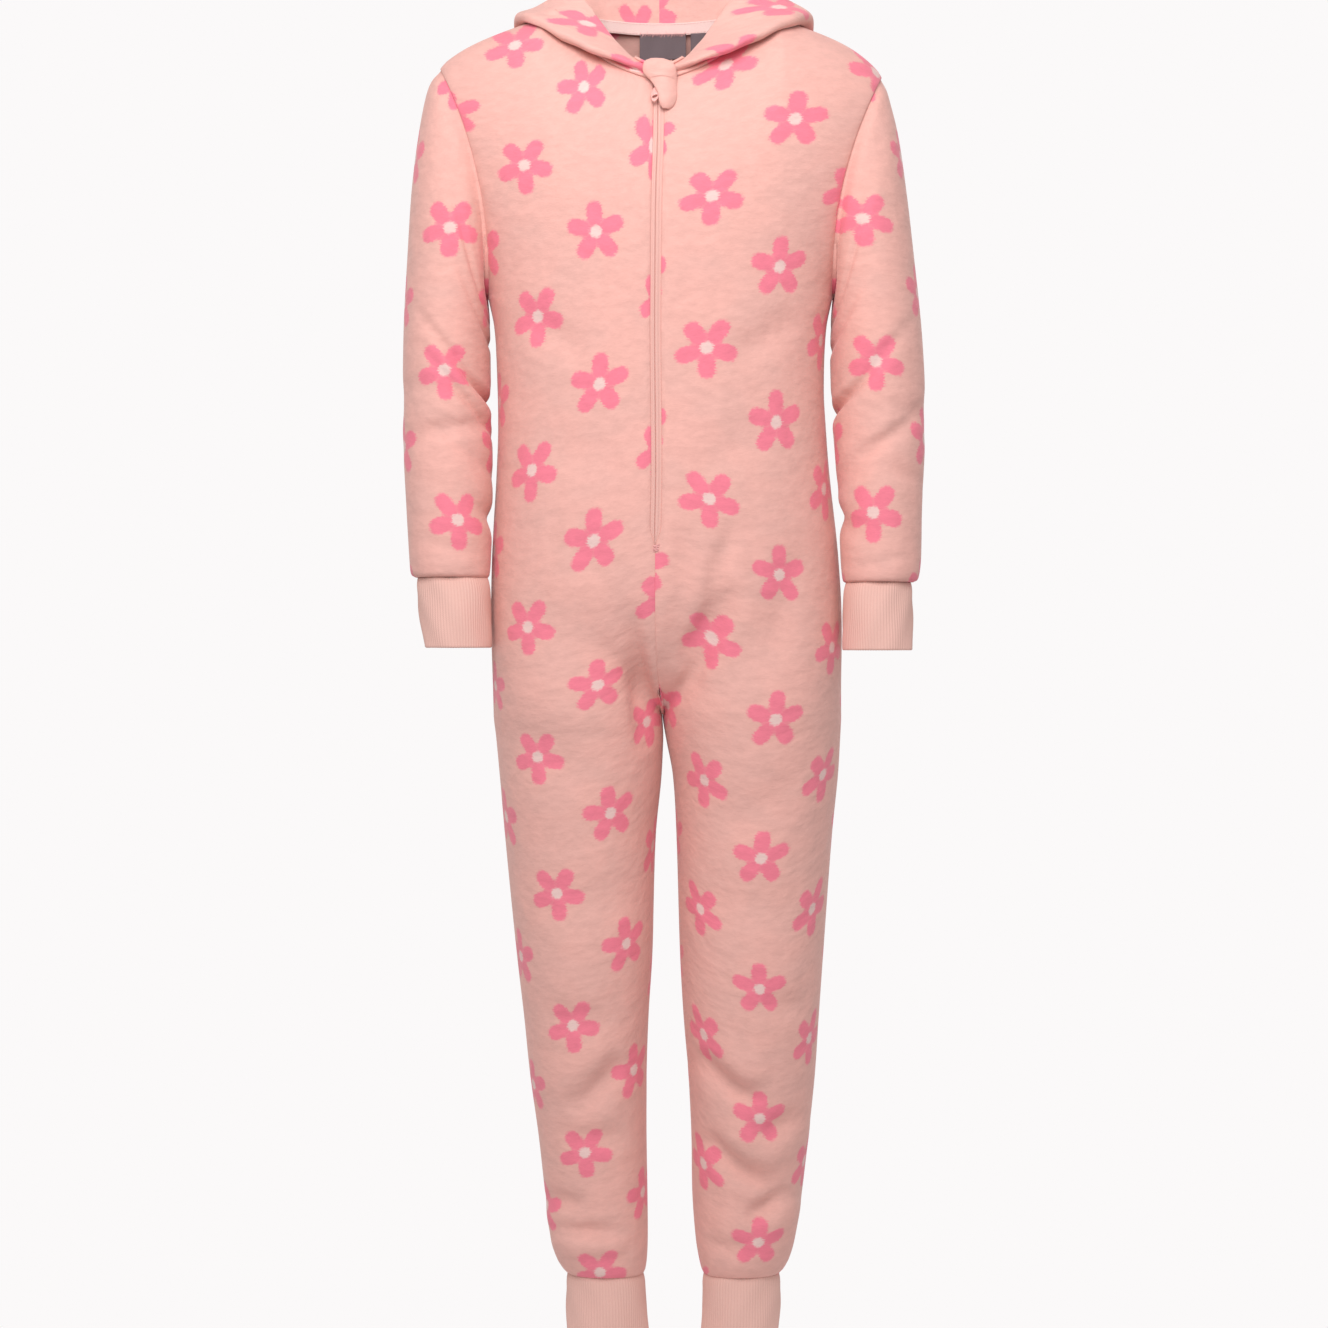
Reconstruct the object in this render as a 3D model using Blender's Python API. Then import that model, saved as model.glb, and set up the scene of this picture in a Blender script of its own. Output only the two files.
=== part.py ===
"""Hooded onesie pyjama for a child, in plush fleece, standing open and filled out as if worn, with nobody in it.

Every cut piece is one closed wall of cloth. The frame is in metres, +Z up and the front towards -Y, so the
wearer's left is +X. The origin lies between the shoulders, where the wearer carries the garment.
"""

import math
from collections import namedtuple

import bmesh
import bpy
from mathutils import Vector
from mathutils.bvhtree import BVHTree

# ---------------------------------------------------------------- driving sizes
FLEECE = 0.0026  # plush pile cloth, thickness of the wall
RIB = 0.0022  # ribbed cuff, folded double
TAPE = 0.0009  # woven tapes and labels
SEAM_GAP = 0.0003  # clear space between two pieces at a seam

LEFT, RIGHT = 1, -1  # the wearer's sides, as signs along X
FRONT, BACK = -1, 1  # the faces, as signs along Y

UNDERARM_Z = -0.215
FORK_Z = -0.445  # the centre seam starts to turn in between the legs
CROTCH_Z = -0.560
LEG_HEM_Z = -1.0235
ZIP_FOOT_Z = -0.410
ZIP_SLOT = 0.0082  # clear width between the two front edges, with the zip in it
ZIP_CLOSE = 0.015  # length over which the slot closes to a point below the zip
ZIP_JOIN = 0.0012  # the tapes meet this far to the wearer's left of the slot's middle
ZIP_SINK = 0.0008  # how far the tape lies under the pile

Body = namedtuple("Body", "z centre right left front back")
TORSO = [
    Body(-0.215, -0.0015, -0.1435, 0.1425, 0.097, 0.096),
    Body(-0.240, -0.0015, -0.1380, 0.1370, 0.097, 0.094),
    Body(-0.290, -0.0016, -0.1355, 0.1350, 0.098, 0.090),
    Body(-0.325, -0.0018, -0.1350, 0.1368, 0.099, 0.090),
    Body(-0.360, -0.0022, -0.1362, 0.1395, 0.101, 0.092),
    Body(-0.430, -0.0038, -0.1400, 0.1470, 0.102, 0.101),
    Body(-0.505, -0.0036, -0.1410, 0.1510, 0.099, 0.108),
    Body(-0.560, 0.0010, -0.1390, 0.1500, 0.095, 0.104),
]
TORSO_ROUND = 2.35  # exponent of the chest's rounded section

Leg = namedtuple("Leg", "z inner outer front back middle")
LEGS = {
    RIGHT: [
        Leg(-0.445, -0.0040, -0.1402, 0.098, 0.102, 0.000),
        Leg(-0.560, 0.0010, -0.1388, 0.090, 0.098, 0.002),
        Leg(-0.578, 0.0020, -0.1368, 0.087, 0.094, 0.003),
        Leg(-0.610, 0.0008, -0.1336, 0.083, 0.088, 0.003),
        Leg(-0.660, -0.0040, -0.1295, 0.077, 0.078, 0.003),
        Leg(-0.759, -0.0070, -0.1195, 0.067, 0.064, 0.000),
        Leg(-0.809, -0.0100, -0.1137, 0.061, 0.058, 0.000),
        Leg(-0.859, -0.0116, -0.1087, 0.056, 0.055, 0.003),
        Leg(-0.909, -0.0116, -0.1020, 0.051, 0.052, 0.007),
        Leg(-0.959, -0.0108, -0.0965, 0.047, 0.048, 0.010),
        Leg(-0.996, -0.0105, -0.0915, 0.044, 0.045, 0.011),
        Leg(-1.012, -0.0112, -0.0868, 0.041, 0.042, 0.011),
        Leg(-1.0205, -0.0125, -0.0815, 0.037, 0.038, 0.011),
        Leg(-1.0235, -0.0138, -0.0785, 0.0345, 0.0345, 0.011),
    ],
    LEFT: [
        Leg(-0.445, -0.0040, 0.1480, 0.098, 0.102, 0.000),
        Leg(-0.560, 0.0010, 0.1495, 0.090, 0.098, 0.002),
        Leg(-0.578, 0.0036, 0.1488, 0.088, 0.095, 0.003),
        Leg(-0.610, 0.0095, 0.1469, 0.084, 0.089, 0.003),
        Leg(-0.660, 0.0125, 0.1419, 0.078, 0.080, 0.003),
        Leg(-0.759, 0.0155, 0.1345, 0.070, 0.067, 0.000),
        Leg(-0.809, 0.0183, 0.1310, 0.066, 0.062, 0.000),
        Leg(-0.859, 0.0224, 0.1278, 0.061, 0.060, 0.003),
        Leg(-0.909, 0.0249, 0.1228, 0.056, 0.056, 0.007),
        Leg(-0.959, 0.0257, 0.1172, 0.050, 0.051, 0.010),
        Leg(-0.996, 0.0285, 0.1115, 0.046, 0.047, 0.011),
        Leg(-1.012, 0.0312, 0.1068, 0.042, 0.043, 0.011),
        Leg(-1.0205, 0.0333, 0.1020, 0.037, 0.038, 0.011),
        Leg(-1.0235, 0.0347, 0.0990, 0.0345, 0.0345, 0.011),
    ],
}
LEG_ROUND = 2.1

Arm = namedtuple("Arm", "outer_x outer_z inner_x inner_z depth forward bow")
ARMS = {
    RIGHT: [
        Arm(-0.1840, -0.0235, -0.1435, -0.215, 0.050, 0.000, 0.0135),
        Arm(-0.1935, -0.0430, -0.1425, -0.223, 0.055, -0.001, 0.0080),
        Arm(-0.2005, -0.078, -0.1420, -0.232, 0.057, -0.003, 0.0040),
        Arm(-0.2062, -0.125, -0.1415, -0.246, 0.055, -0.006, 0.0010),
        Arm(-0.2095, -0.180, -0.1410, -0.265, 0.052, -0.010, 0.0000),
        Arm(-0.2122, -0.235, -0.1405, -0.287, 0.049, -0.014, 0.0000),
        Arm(-0.2128, -0.286, -0.1398, -0.313, 0.046, -0.018, 0.0000),
        Arm(-0.2122, -0.336, -0.1386, -0.349, 0.043, -0.023, 0.0000),
        Arm(-0.2092, -0.388, -0.1386, -0.393, 0.040, -0.029, 0.0000),
        Arm(-0.2066, -0.428, -0.1394, -0.430, 0.038, -0.034, 0.0000),
        Arm(-0.2050, -0.4435, -0.1404, -0.4440, 0.036, -0.036, 0.0000),
        Arm(-0.2015, -0.4470, -0.1416, -0.4470, 0.0325, -0.036, 0.0000),
    ],
    LEFT: [
        Arm(0.1842, -0.0310, 0.1425, -0.215, 0.050, 0.000, 0.0135),
        Arm(0.1893, -0.0500, 0.1415, -0.223, 0.055, -0.001, 0.0080),
        Arm(0.1968, -0.082, 0.1410, -0.232, 0.057, -0.003, 0.0040),
        Arm(0.2035, -0.130, 0.1405, -0.246, 0.055, -0.006, 0.0010),
        Arm(0.2095, -0.185, 0.1400, -0.265, 0.052, -0.010, 0.0000),
        Arm(0.2148, -0.238, 0.1402, -0.287, 0.049, -0.014, 0.0000),
        Arm(0.2175, -0.288, 0.1410, -0.313, 0.046, -0.018, 0.0000),
        Arm(0.2172, -0.338, 0.1435, -0.349, 0.043, -0.023, 0.0000),
        Arm(0.2145, -0.390, 0.1462, -0.393, 0.040, -0.029, 0.0000),
        Arm(0.2134, -0.430, 0.1474, -0.432, 0.038, -0.034, 0.0000),
        Arm(0.2110, -0.4475, 0.1488, -0.4480, 0.036, -0.036, 0.0000),
        Arm(0.2068, -0.4510, 0.1505, -0.4510, 0.0325, -0.036, 0.0000),
    ],
}

Cuff = namedtuple("Cuff", "drop inner outer depth middle")
SLEEVE_CUFFS = {
    RIGHT: [
        Cuff(0.000, -0.1410, -0.2000, 0.0325, -0.036),
        Cuff(0.012, -0.1402, -0.1985, 0.0322, -0.037),
        Cuff(0.035, -0.1398, -0.1962, 0.0315, -0.039),
        Cuff(0.0575, -0.1395, -0.1935, 0.0308, -0.041),
    ],
    LEFT: [
        Cuff(0.000, 0.1506, 0.2055, 0.0325, -0.036),
        Cuff(0.012, 0.1500, 0.2048, 0.0322, -0.037),
        Cuff(0.035, 0.1497, 0.2052, 0.0318, -0.039),
        Cuff(0.0555, 0.1494, 0.2064, 0.0315, -0.041),
    ],
}
LEG_CUFFS = {
    RIGHT: [
        Cuff(0.000, -0.0138, -0.0785, 0.0345, 0.011),
        Cuff(0.018, -0.0132, -0.0775, 0.0332, 0.012),
        Cuff(0.042, -0.0120, -0.0778, 0.0330, 0.013),
        Cuff(0.066, -0.0112, -0.0785, 0.0335, 0.014),
    ],
    LEFT: [
        Cuff(0.000, 0.0347, 0.0990, 0.0345, 0.011),
        Cuff(0.018, 0.0352, 0.0983, 0.0332, 0.012),
        Cuff(0.042, 0.0350, 0.0975, 0.0330, 0.013),
        Cuff(0.066, 0.0346, 0.0972, 0.0335, 0.014),
    ],
}

NECK_HALF = 0.078  # the neck seam is an oval
NECK_FRONT, NECK_BACK = 0.060, 0.057
NECK_CENTRE = -0.0015
NECK_SIDE_Z = 0.022
NECK_Z = {FRONT: -0.041, BACK: 0.018}
NECK_SHARE = 0.5  # part of a panel's top edge that is neck, the rest is shoulder
SHOULDER_BEND = {RIGHT: 0.75, LEFT: 0.66}  # how straight the shoulder seam runs before it rounds over at its end

# The hood lies back on the shoulders. Each row is its section at one angle round the neck, 0 at the zip and
# 180 at the centre back, as distances out from the neck seam and up from it.
Hood = namedtuple(
    "Hood", "angle crest_out crest_up fold_out fold_up fold_gap tip slump rim_out rim_up"
)
HOOD = [
    Hood(0, 0.0006, 0.003, 0.0014, 0.004, 0.0006, 0.31, 0.0, 0.0, 0.0155),
    Hood(25, 0.0030, 0.003, 0.008, 0.001, 0.0065, 0.31, 0.0, -0.013, 0.0188),
    Hood(50, 0.0070, 0.0035, 0.017, 0.001, 0.0100, 0.36, 0.0, -0.0174, 0.0215),
    Hood(75, 0.0105, 0.0025, 0.0295, -0.0025, 0.0115, 0.34, 0.14, -0.0110, 0.0262),
    Hood(98, 0.0115, 0.0030, 0.0365, -0.0195, 0.0120, 0.21, 0.19, -0.0040, 0.0260),
    Hood(125, 0.0120, 0.0150, 0.043, -0.055, 0.0180, 0.28, 0.0, 0.0350, 0.0200),
    Hood(152, 0.015, 0.041, 0.048, -0.13, 0.015, 0.31, 0.0, 0.046, 0.012),
    Hood(180, 0.016, 0.05, 0.052, -0.185, 0.017, 0.31, 0.0, 0.054, 0.008),
]
HOOD_CLEAR = 0.0020  # between the hood and the shoulders it lies on
HOOD_EASE = 0.5  # that clearance grows from nothing at the neck seam
HOOD_STRIP = (8.0, 32.0)  # up to the first angle a plain strip, from the second on folded back
FOLD_COLUMN = 8  # the hood's columns after this one belong to the layer that is folded back
HOOD_SPREAD = {RIGHT: 0.92, LEFT: 1.09}  # the left half lies a little further out
HOOD_JOIN = 105.0  # from this angle on the two halves grow alike
HOOD_SLUMP = {RIGHT: 1.0, LEFT: 0.12}  # and stands a little higher

Fold = namedtuple("Fold", "side face x0 z0 x1 z1 width depth")
FOLDS = [
    Fold(LEFT, FRONT, 0.020, -0.408, 0.012, -0.505, 0.013, 0.0065),
    Fold(LEFT, FRONT, 0.014, -0.520, 0.058, -0.455, 0.014, 0.0055),
    Fold(RIGHT, FRONT, -0.017, -0.470, -0.014, -0.585, 0.011, 0.0060),
    Fold(LEFT, FRONT, 0.030, -0.838, 0.082, -0.872, 0.012, 0.0070),
    Fold(LEFT, FRONT, 0.052, -0.918, 0.094, -0.942, 0.012, 0.0075),
    Fold(LEFT, FRONT, 0.070, -0.972, 0.104, -0.950, 0.011, 0.0055),
    Fold(RIGHT, FRONT, -0.030, -0.842, -0.072, -0.885, 0.014, 0.0055),
    Fold(RIGHT, FRONT, -0.088, -0.984, -0.030, -0.984, 0.010, 0.0045),
    Fold(LEFT, BACK, 0.020, -0.850, 0.112, -0.874, 0.015, 0.0065),
    Fold(LEFT, BACK, 0.045, -0.930, 0.105, -0.915, 0.014, 0.0055),
    Fold(RIGHT, BACK, -0.022, -0.842, -0.098, -0.868, 0.015, 0.0065),
    Fold(RIGHT, BACK, -0.090, -0.915, -0.030, -0.935, 0.014, 0.0055),
    Fold(LEFT, BACK, 0.040, -0.602, 0.112, -0.575, 0.017, 0.0070),
    Fold(RIGHT, BACK, -0.040, -0.602, -0.108, -0.575, 0.017, 0.0070),
    Fold(LEFT, BACK, 0.030, -0.360, 0.105, -0.345, 0.018, 0.0045),
    Fold(RIGHT, BACK, -0.025, -0.372, -0.105, -0.352, 0.018, 0.0045),
]
# Folds of a sleeve: distance down its outer line, angle of the deepest point, spread in angle, depth.
ArmFold = namedtuple("ArmFold", "side down angle slant spread width depth")
ARM_FOLDS = [
    ArmFold(RIGHT, 0.240, 150, 0.030, 70, 0.013, 0.0060),
    ArmFold(RIGHT, 0.285, 100, -0.020, 60, 0.012, 0.0035),
    ArmFold(RIGHT, 0.375, 200, 0.018, 80, 0.012, 0.0040),
    ArmFold(LEFT, 0.245, 145, 0.030, 70, 0.013, 0.0060),
    ArmFold(LEFT, 0.295, 90, 0.022, 60, 0.012, 0.0035),
    ArmFold(LEFT, 0.360, 200, -0.018, 80, 0.012, 0.0040),
]

# The guard over the top of the zip and the slider under it, from the wearer's right to their left.
Pad = namedtuple("Pad", "z start end start_lift end_lift dome")
GUARD = [
    Pad(-0.0262, -0.0089, 0.0024, 0.0030, 0.0028, 0.0006),
    Pad(-0.0282, -0.0130, 0.0081, 0.0036, 0.0034, 0.0014),
    Pad(-0.0324, -0.0146, 0.0117, 0.0040, 0.0044, 0.0018),
    Pad(-0.0374, -0.0143, 0.0126, 0.0038, 0.0039, 0.0026),
    Pad(-0.0427, -0.0109, 0.0130, 0.0036, 0.0018, 0.0038),
    Pad(-0.0481, -0.0073, 0.0130, 0.0048, 0.0009, 0.0030),
    Pad(-0.0534, -0.0045, 0.0130, 0.0054, 0.0007, 0.0022),
    Pad(-0.0588, -0.0024, 0.0130, 0.0056, 0.0007, 0.0018),
    Pad(-0.0639, -0.0016, 0.0117, 0.0050, 0.0007, 0.0018),
    Pad(-0.0673, -0.0004, 0.0097, 0.0038, 0.0007, 0.0016),
    Pad(-0.0694, 0.0016, 0.0065, 0.0026, 0.0012, 0.0010),
]
GUARD_THICK = 0.0026  # folded double
SLIDER = [
    Pad(-0.0455, -0.0034, 0.0028, 0.0004, 0.0004, 0.0),
    Pad(-0.0465, -0.0042, 0.0036, 0.0004, 0.0004, 0.0),
    Pad(-0.0510, -0.0044, 0.0038, 0.0004, 0.0004, 0.0),
    Pad(-0.0555, -0.0036, 0.0030, 0.0004, 0.0004, 0.0),
    Pad(-0.0575, -0.0030, 0.0024, 0.0004, 0.0004, 0.0),
]
SLIDER_THICK = 0.0022
PULL_X, PULL_Z = -0.0030, -0.0560
PULL_LIFT, PULL_THICK = 0.0029, 0.0012
PULL_TURN = math.radians(-22)
TAPE_UP, TAPE_DOWN = 0.0045, 0.0055
LABEL = (-0.0177, 0.0208, 0.0121, -0.0090)  # two sides, top and bottom
SIZE_LABEL = (0.0252, 0.0392, 0.0121, -0.0070)

BODY_COLUMNS = 10  # divisions of a front or back panel from the centre seam to the side
ARM_DIVISIONS = 20
CUFF_DIVISIONS = 20  # as the sleeve and the leg have round their hems
STEP = 0.004  # parameter step for slopes


# ---------------------------------------------------------------- reading the tables
def hermite(a, b, slope_a, slope_b, t):
    """Smooth value between a and b, with the slopes per unit of t."""
    t2, t3 = t * t, t * t * t
    return (
        a * (2 * t3 - 3 * t2 + 1)
        + slope_a * (t3 - 2 * t2 + t)
        + b * (3 * t2 - 2 * t3)
        + slope_b * (t3 - t2)
    )


def smooth_row(table, keys, key):
    """The table's row at key, smooth between its rows. keys rises."""
    k = 0
    while k < len(keys) - 2 and key > keys[k + 1]:
        k += 1
    span = keys[k + 1] - keys[k]
    t = (key - keys[k]) / span

    def slope(i, column):
        low, high = max(i - 1, 0), min(i + 1, len(keys) - 1)
        return (table[high][column] - table[low][column]) / (keys[high] - keys[low]) * span

    return type(table[0])(
        *(
            hermite(table[k][c], table[k + 1][c], slope(k, c), slope(k + 1, c), t)
            for c in range(len(table[0]))
        )
    )


def at_height(table, z):
    return smooth_row(table, [-row.z for row in table], -z)


def power(value, exponent):
    return math.copysign(abs(value) ** exponent, value)


def mix(a, b, share):
    return a + (b - a) * share


# ---------------------------------------------------------------- sleeve surface
def sleeve_point(side, down, angle):
    """A point of a sleeve: down counts table rows from the armhole, angle runs from the outer line to the front."""
    rows = ARMS[side]
    arm = smooth_row(rows, list(range(len(rows))), down)
    cos, sin = math.cos(angle), math.sin(angle)
    x = mix(arm.inner_x, arm.outer_x, (1 + cos) / 2) - side * arm.bow * sin * sin
    z = mix(arm.inner_z, arm.outer_z, (1 + cos) / 2)
    return Vector((x, arm.forward - arm.depth * sin, z))


def armhole(side, face, lift):
    """The armhole seam: lift is 0 at the underarm and pi at the shoulder tip."""
    return sleeve_point(side, 0, math.pi + face * lift)


# ---------------------------------------------------------------- body surface
def neck_point(side, angle):
    """The neck seam: angle 0 at the centre front, pi at the centre back."""
    face = FRONT if angle < math.pi / 2 else BACK
    depth = NECK_FRONT if face == FRONT else NECK_BACK
    rise = (1 - abs(math.cos(angle))) ** 0.755
    return Vector(
        (
            NECK_CENTRE + side * NECK_HALF * math.sin(angle),
            -depth * math.cos(angle),
            mix(NECK_Z[face], NECK_SIDE_Z, rise),
        )
    )


def top_edge(side, face, across):
    """The neck seam, then the shoulder seam out to the shoulder tip."""
    if across < NECK_SHARE:
        turn = across / NECK_SHARE * math.pi / 2
        return neck_point(side, turn if face == FRONT else math.pi - turn)
    out = (across - NECK_SHARE) / (1 - NECK_SHARE)
    start, tip = neck_point(side, math.pi / 2), armhole(side, face, math.pi)
    return Vector((mix(start.x, tip.x, out), 0.0, mix(start.z, tip.z, mix(out**5, out, SHOULDER_BEND[side]))))


def chest_point(side, face, lift, across):
    """Above the underarm: lift runs from 0 there to pi at the shoulder seam."""
    rise = (1 - math.cos(lift)) / 2
    edge = armhole(side, face, lift)
    base = TORSO[0]
    depth = mix(base.front if face == FRONT else base.back, 0.080, rise**2.2)
    reach = mix(1.0, 0.74, min(1.0, lift / 0.9)) * math.pi / 2
    share = 2 / TORSO_ROUND
    wide = (math.sin(across * reach) / math.sin(reach)) ** share
    deep = math.cos(across * reach) ** share
    deep_end = math.cos(reach) ** share if reach < math.pi / 2 - 1e-6 else 0.0
    fall = (1 - deep) / (1 - deep_end)
    full = Vector((mix(base.centre, edge.x, wide), mix(face * depth, edge.y, fall), 0.0))
    top = top_edge(side, face, across)
    # rounded right over at the shoulder seam, only sloping at the middle of the neck
    turn = min(1.0, across / NECK_SHARE)
    shoulder = 1 - max(0.0, 1 - rise**4) ** mix(1.0, 0.5, turn * turn * (3 - 2 * turn))
    tip = armhole(side, face, math.pi)
    # the last term keeps the panel's side on the armhole seam
    point = full.lerp(top, shoulder) + (edge - tip) * shoulder * across**5
    point.z = mix(UNDERARM_Z, top.z, rise)
    return point


def torso_section(side, face, z, across):
    body = at_height(TORSO, z)
    edge = body.left if side == LEFT else body.right
    depth = body.front if face == FRONT else body.back
    turn = across * math.pi / 2
    share = 2 / TORSO_ROUND
    x = mix(body.centre, edge, power(math.sin(turn), share))
    return Vector((x, face * depth * power(math.cos(turn), share), z))


def leg_section(side, face, z, across):
    leg = at_height(LEGS[side], z)
    depth = leg.front if face == FRONT else leg.back
    share = 2 / LEG_ROUND
    x = mix(leg.inner, leg.outer, (1 - power(math.cos(across * math.pi), share)) / 2)
    return Vector((x, leg.middle + face * depth * power(math.sin(across * math.pi), share), z))


def fork_section(side, face, z, across):
    """Torso above, leg below: each leg's round form, filled between them as far in as the centre seam reaches."""
    fall = (FORK_Z - z) / (FORK_Z - CROTCH_Z)
    thigh_share = fall * fall * (3 - 2 * fall)
    seam_share = 1 - math.sqrt(1 - fall * fall)
    above, below = torso_section(side, face, z, across), leg_section(side, face, z, across)
    shift = (at_height(TORSO, z).centre - at_height(LEGS[side], z).inner) * (1 - across)
    thigh = above.lerp(below + Vector((shift, 0, 0)), thigh_share)
    filling = above.lerp(Vector((0, at_height(LEGS[side], z).middle, 0)), seam_share)
    softness = 0.016 * fall * (1 - fall)
    gap = face * (thigh.y - filling.y)
    reach = (face * (thigh.y + filling.y) + math.sqrt(gap * gap + softness * softness)) / 2
    return Vector((thigh.x, face * reach if gap or softness else thigh.y, z))


def plain_point(side, face, down, across):
    """down: 0 at the shoulder seam, 1 at the underarm, then 1 plus the distance below the underarm."""
    if across > 1:
        return plain_point(side, -face, down, 2 - across)
    if down < 0:
        return plain_point(side, -face, -down, across)
    z = UNDERARM_Z - (down - 1)
    if across < 0:
        if z > CROTCH_Z:
            return plain_point(-side, face, down, -across)
        return plain_point(side, -face, down, -across)
    if down < 1:
        return chest_point(side, face, math.pi * (1 - down), across)
    if z >= FORK_Z:
        return torso_section(side, face, z, across)
    if z <= CROTCH_Z:
        return leg_section(side, face, z, across)
    return fork_section(side, face, z, across)


def outward(along, across, side, face):
    """Unit normal from two slopes: down the garment, and from the centre seam to the side."""
    normal = across.cross(along) * side * face
    return normal.normalized() if normal.length > 1e-12 else Vector((0, 0, -1))


def fold_depth(side, face, point, across):
    """How far the folds push the cloth in at a point. It fades out at the seams."""
    total = 0.0
    for fold in FOLDS:
        if fold.side != side or fold.face != face:
            continue
        dx, dz = fold.x1 - fold.x0, fold.z1 - fold.z0
        length2 = dx * dx + dz * dz
        along = ((point.x - fold.x0) * dx + (point.z - fold.z0) * dz) / length2
        near = min(1.15, max(-0.15, along))
        off_x = point.x - fold.x0 - near * dx
        off_z = point.z - fold.z0 - near * dz
        off2 = (off_x * off_x + off_z * off_z) / fold.width**2
        taper = max(0.0, 1 - (2 * abs(near - 0.5)) ** 2.5 * 0.75)
        # a trough with a low ridge on each side
        total += fold.depth * taper * math.exp(-off2) * (1 - 0.55 * off2)
    return total * min(1.0, math.sin(math.pi * min(1, max(0, across))) * 2.5)


def body_point(side, face, down, across):
    point = plain_point(side, face, down, across)
    if 0 < across < 1 and down > 1:
        depth = fold_depth(side, face, point, across)
        if abs(depth) > 1e-6:
            point = point - plain_normal(side, face, down, across) * depth
    return point


def plain_normal(side, face, down, across):
    along = plain_point(side, face, down + STEP, across) - plain_point(
        side, face, down - STEP, across
    )
    wide = plain_point(side, face, down, across + STEP) - plain_point(
        side, face, down, across - STEP
    )
    return outward(along, wide, side, face)


def armhole_normal(side, face, lift):
    """Shared by a panel's armhole edge and the sleeve's top, so their edges lie face to face."""
    wide = sleeve_point(side, 0.25, math.pi + face * lift) - chest_point(side, face, lift, 0.96)
    along = armhole(side, face, lift - 0.02) - armhole(side, face, lift + 0.02)
    return outward(along, wide, side, face)


def body_normal(side, face, down, across):
    if across > 0.999 and down < 1:
        return armhole_normal(side, face, math.pi * (1 - down))
    if across < 0.001 and abs(UNDERARM_Z - (down - 1) - CROTCH_Z) < 1e-4:
        return Vector((-side, 0, -1)).normalized()
    low = down if down <= STEP and across < NECK_SHARE else down - STEP
    along = body_point(side, face, down + STEP, across) - body_point(side, face, low, across)
    wide = body_point(side, face, down, across + STEP) - body_point(
        side, face, down, across - STEP
    )
    return outward(along, wide, side, face)


# ---------------------------------------------------------------- walls from grids of points
def material(name, colour, roughness):
    made = bpy.data.materials.new(name)
    made.use_nodes = True
    shader = made.node_tree.nodes["Principled BSDF"]
    shader.inputs["Base Color"].default_value = (*colour, 1)
    shader.inputs["Roughness"].default_value = roughness
    return made


def new_object(name, points, faces, finish):
    """A closed mesh with its faces turned outwards."""
    mesh = bpy.data.meshes.new(name)
    mesh.from_pydata([tuple(p) for p in points], [], faces)
    shape = bmesh.new()
    shape.from_mesh(mesh)
    bmesh.ops.recalc_face_normals(shape, faces=shape.faces)
    if shape.calc_volume(signed=True) < 0:
        bmesh.ops.reverse_faces(shape, faces=shape.faces)
    shape.to_mesh(mesh)
    shape.free()
    mesh.materials.append(finish)
    mesh.shade_smooth()
    mesh.set_sharp_from_angle(angle=math.radians(50))
    made = bpy.data.objects.new(name, mesh)
    bpy.context.scene.collection.objects.link(made)
    return made


def wall(name, outer, inner, finish, tube=False):
    """A wall between two grids of points with the same rows and columns. A tube's columns close on themselves."""
    rows, columns = len(outer), len(outer[0])
    points = [p for row in outer for p in row] + [p for row in inner for p in row]
    skin = rows * columns
    faces = []
    last = columns if tube else columns - 1
    for i in range(rows - 1):
        for j in range(last):
            k = (j + 1) % columns
            a, b, c, d = i * columns + j, i * columns + k, (i + 1) * columns + k, (i + 1) * columns + j
            faces.append((a, b, c, d))
            faces.append((skin + d, skin + c, skin + b, skin + a))
    for i in (0, rows - 1):
        for j in range(last):
            a, b = i * columns + j, i * columns + (j + 1) % columns
            faces.append((a, b, skin + b, skin + a))
    if not tube:
        for j in (0, columns - 1):
            for i in range(rows - 1):
                a, b = i * columns + j, (i + 1) * columns + j
                faces.append((a, b, skin + b, skin + a))
    return new_object(name, points, faces, finish)


def grid_normals(grid, tube=False):
    """Unit normals of a grid of points, from its neighbours."""
    rows, columns = len(grid), len(grid[0])
    normals = []
    for i in range(rows):
        line = []
        for j in range(columns):
            along = grid[min(i + 1, rows - 1)][j] - grid[max(i - 1, 0)][j]
            if tube:
                wide = grid[i][(j + 1) % columns] - grid[i][j - 1]
            else:
                wide = grid[i][min(j + 1, columns - 1)] - grid[i][max(j - 1, 0)]
            line.append(along.cross(wide).normalized())
        normals.append(line)
    return normals


def moved(grid, normals, distance):
    return [[p + n * distance for p, n in zip(row, lift)] for row, lift in zip(grid, normals)]


# ---------------------------------------------------------------- front and back panels
def height_to_down(z):
    return 1 + UNDERARM_Z - z


def body_stations():
    """Where the rows of a body panel lie: close together where the form turns or folds."""
    chest = [k / (ARM_DIVISIONS / 2) for k in range(ARM_DIVISIONS // 2)]
    torso = [1 + k * 0.039 for k in range(6)] + [height_to_down(ZIP_FOOT_Z - ZIP_CLOSE)]
    fork = [
        height_to_down(FORK_Z - (FORK_Z - CROTCH_Z) * math.sin(math.radians(a)))
        for a in (0, 14, 27, 40, 53, 65, 77, 90)
    ]
    thigh = [height_to_down(z) for z in (-0.576, -0.600, -0.635, -0.680, -0.730, -0.780)]
    shin = [height_to_down(-0.820 - 0.0148 * k) for k in range(12)]
    hem = [height_to_down(z) for z in (-0.998, -1.012, -1.0205, LEG_HEM_Z)]
    return chest + torso + fork + thigh + shin + hem


def front_slot(z):
    """Half the clear width at the centre front: the zip's slot, closing to a seam below it."""
    closing = min(1.0, max(0.0, (ZIP_FOOT_Z - z) / ZIP_CLOSE))
    return mix(ZIP_SLOT / 2, SEAM_GAP / 2, closing)


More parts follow.
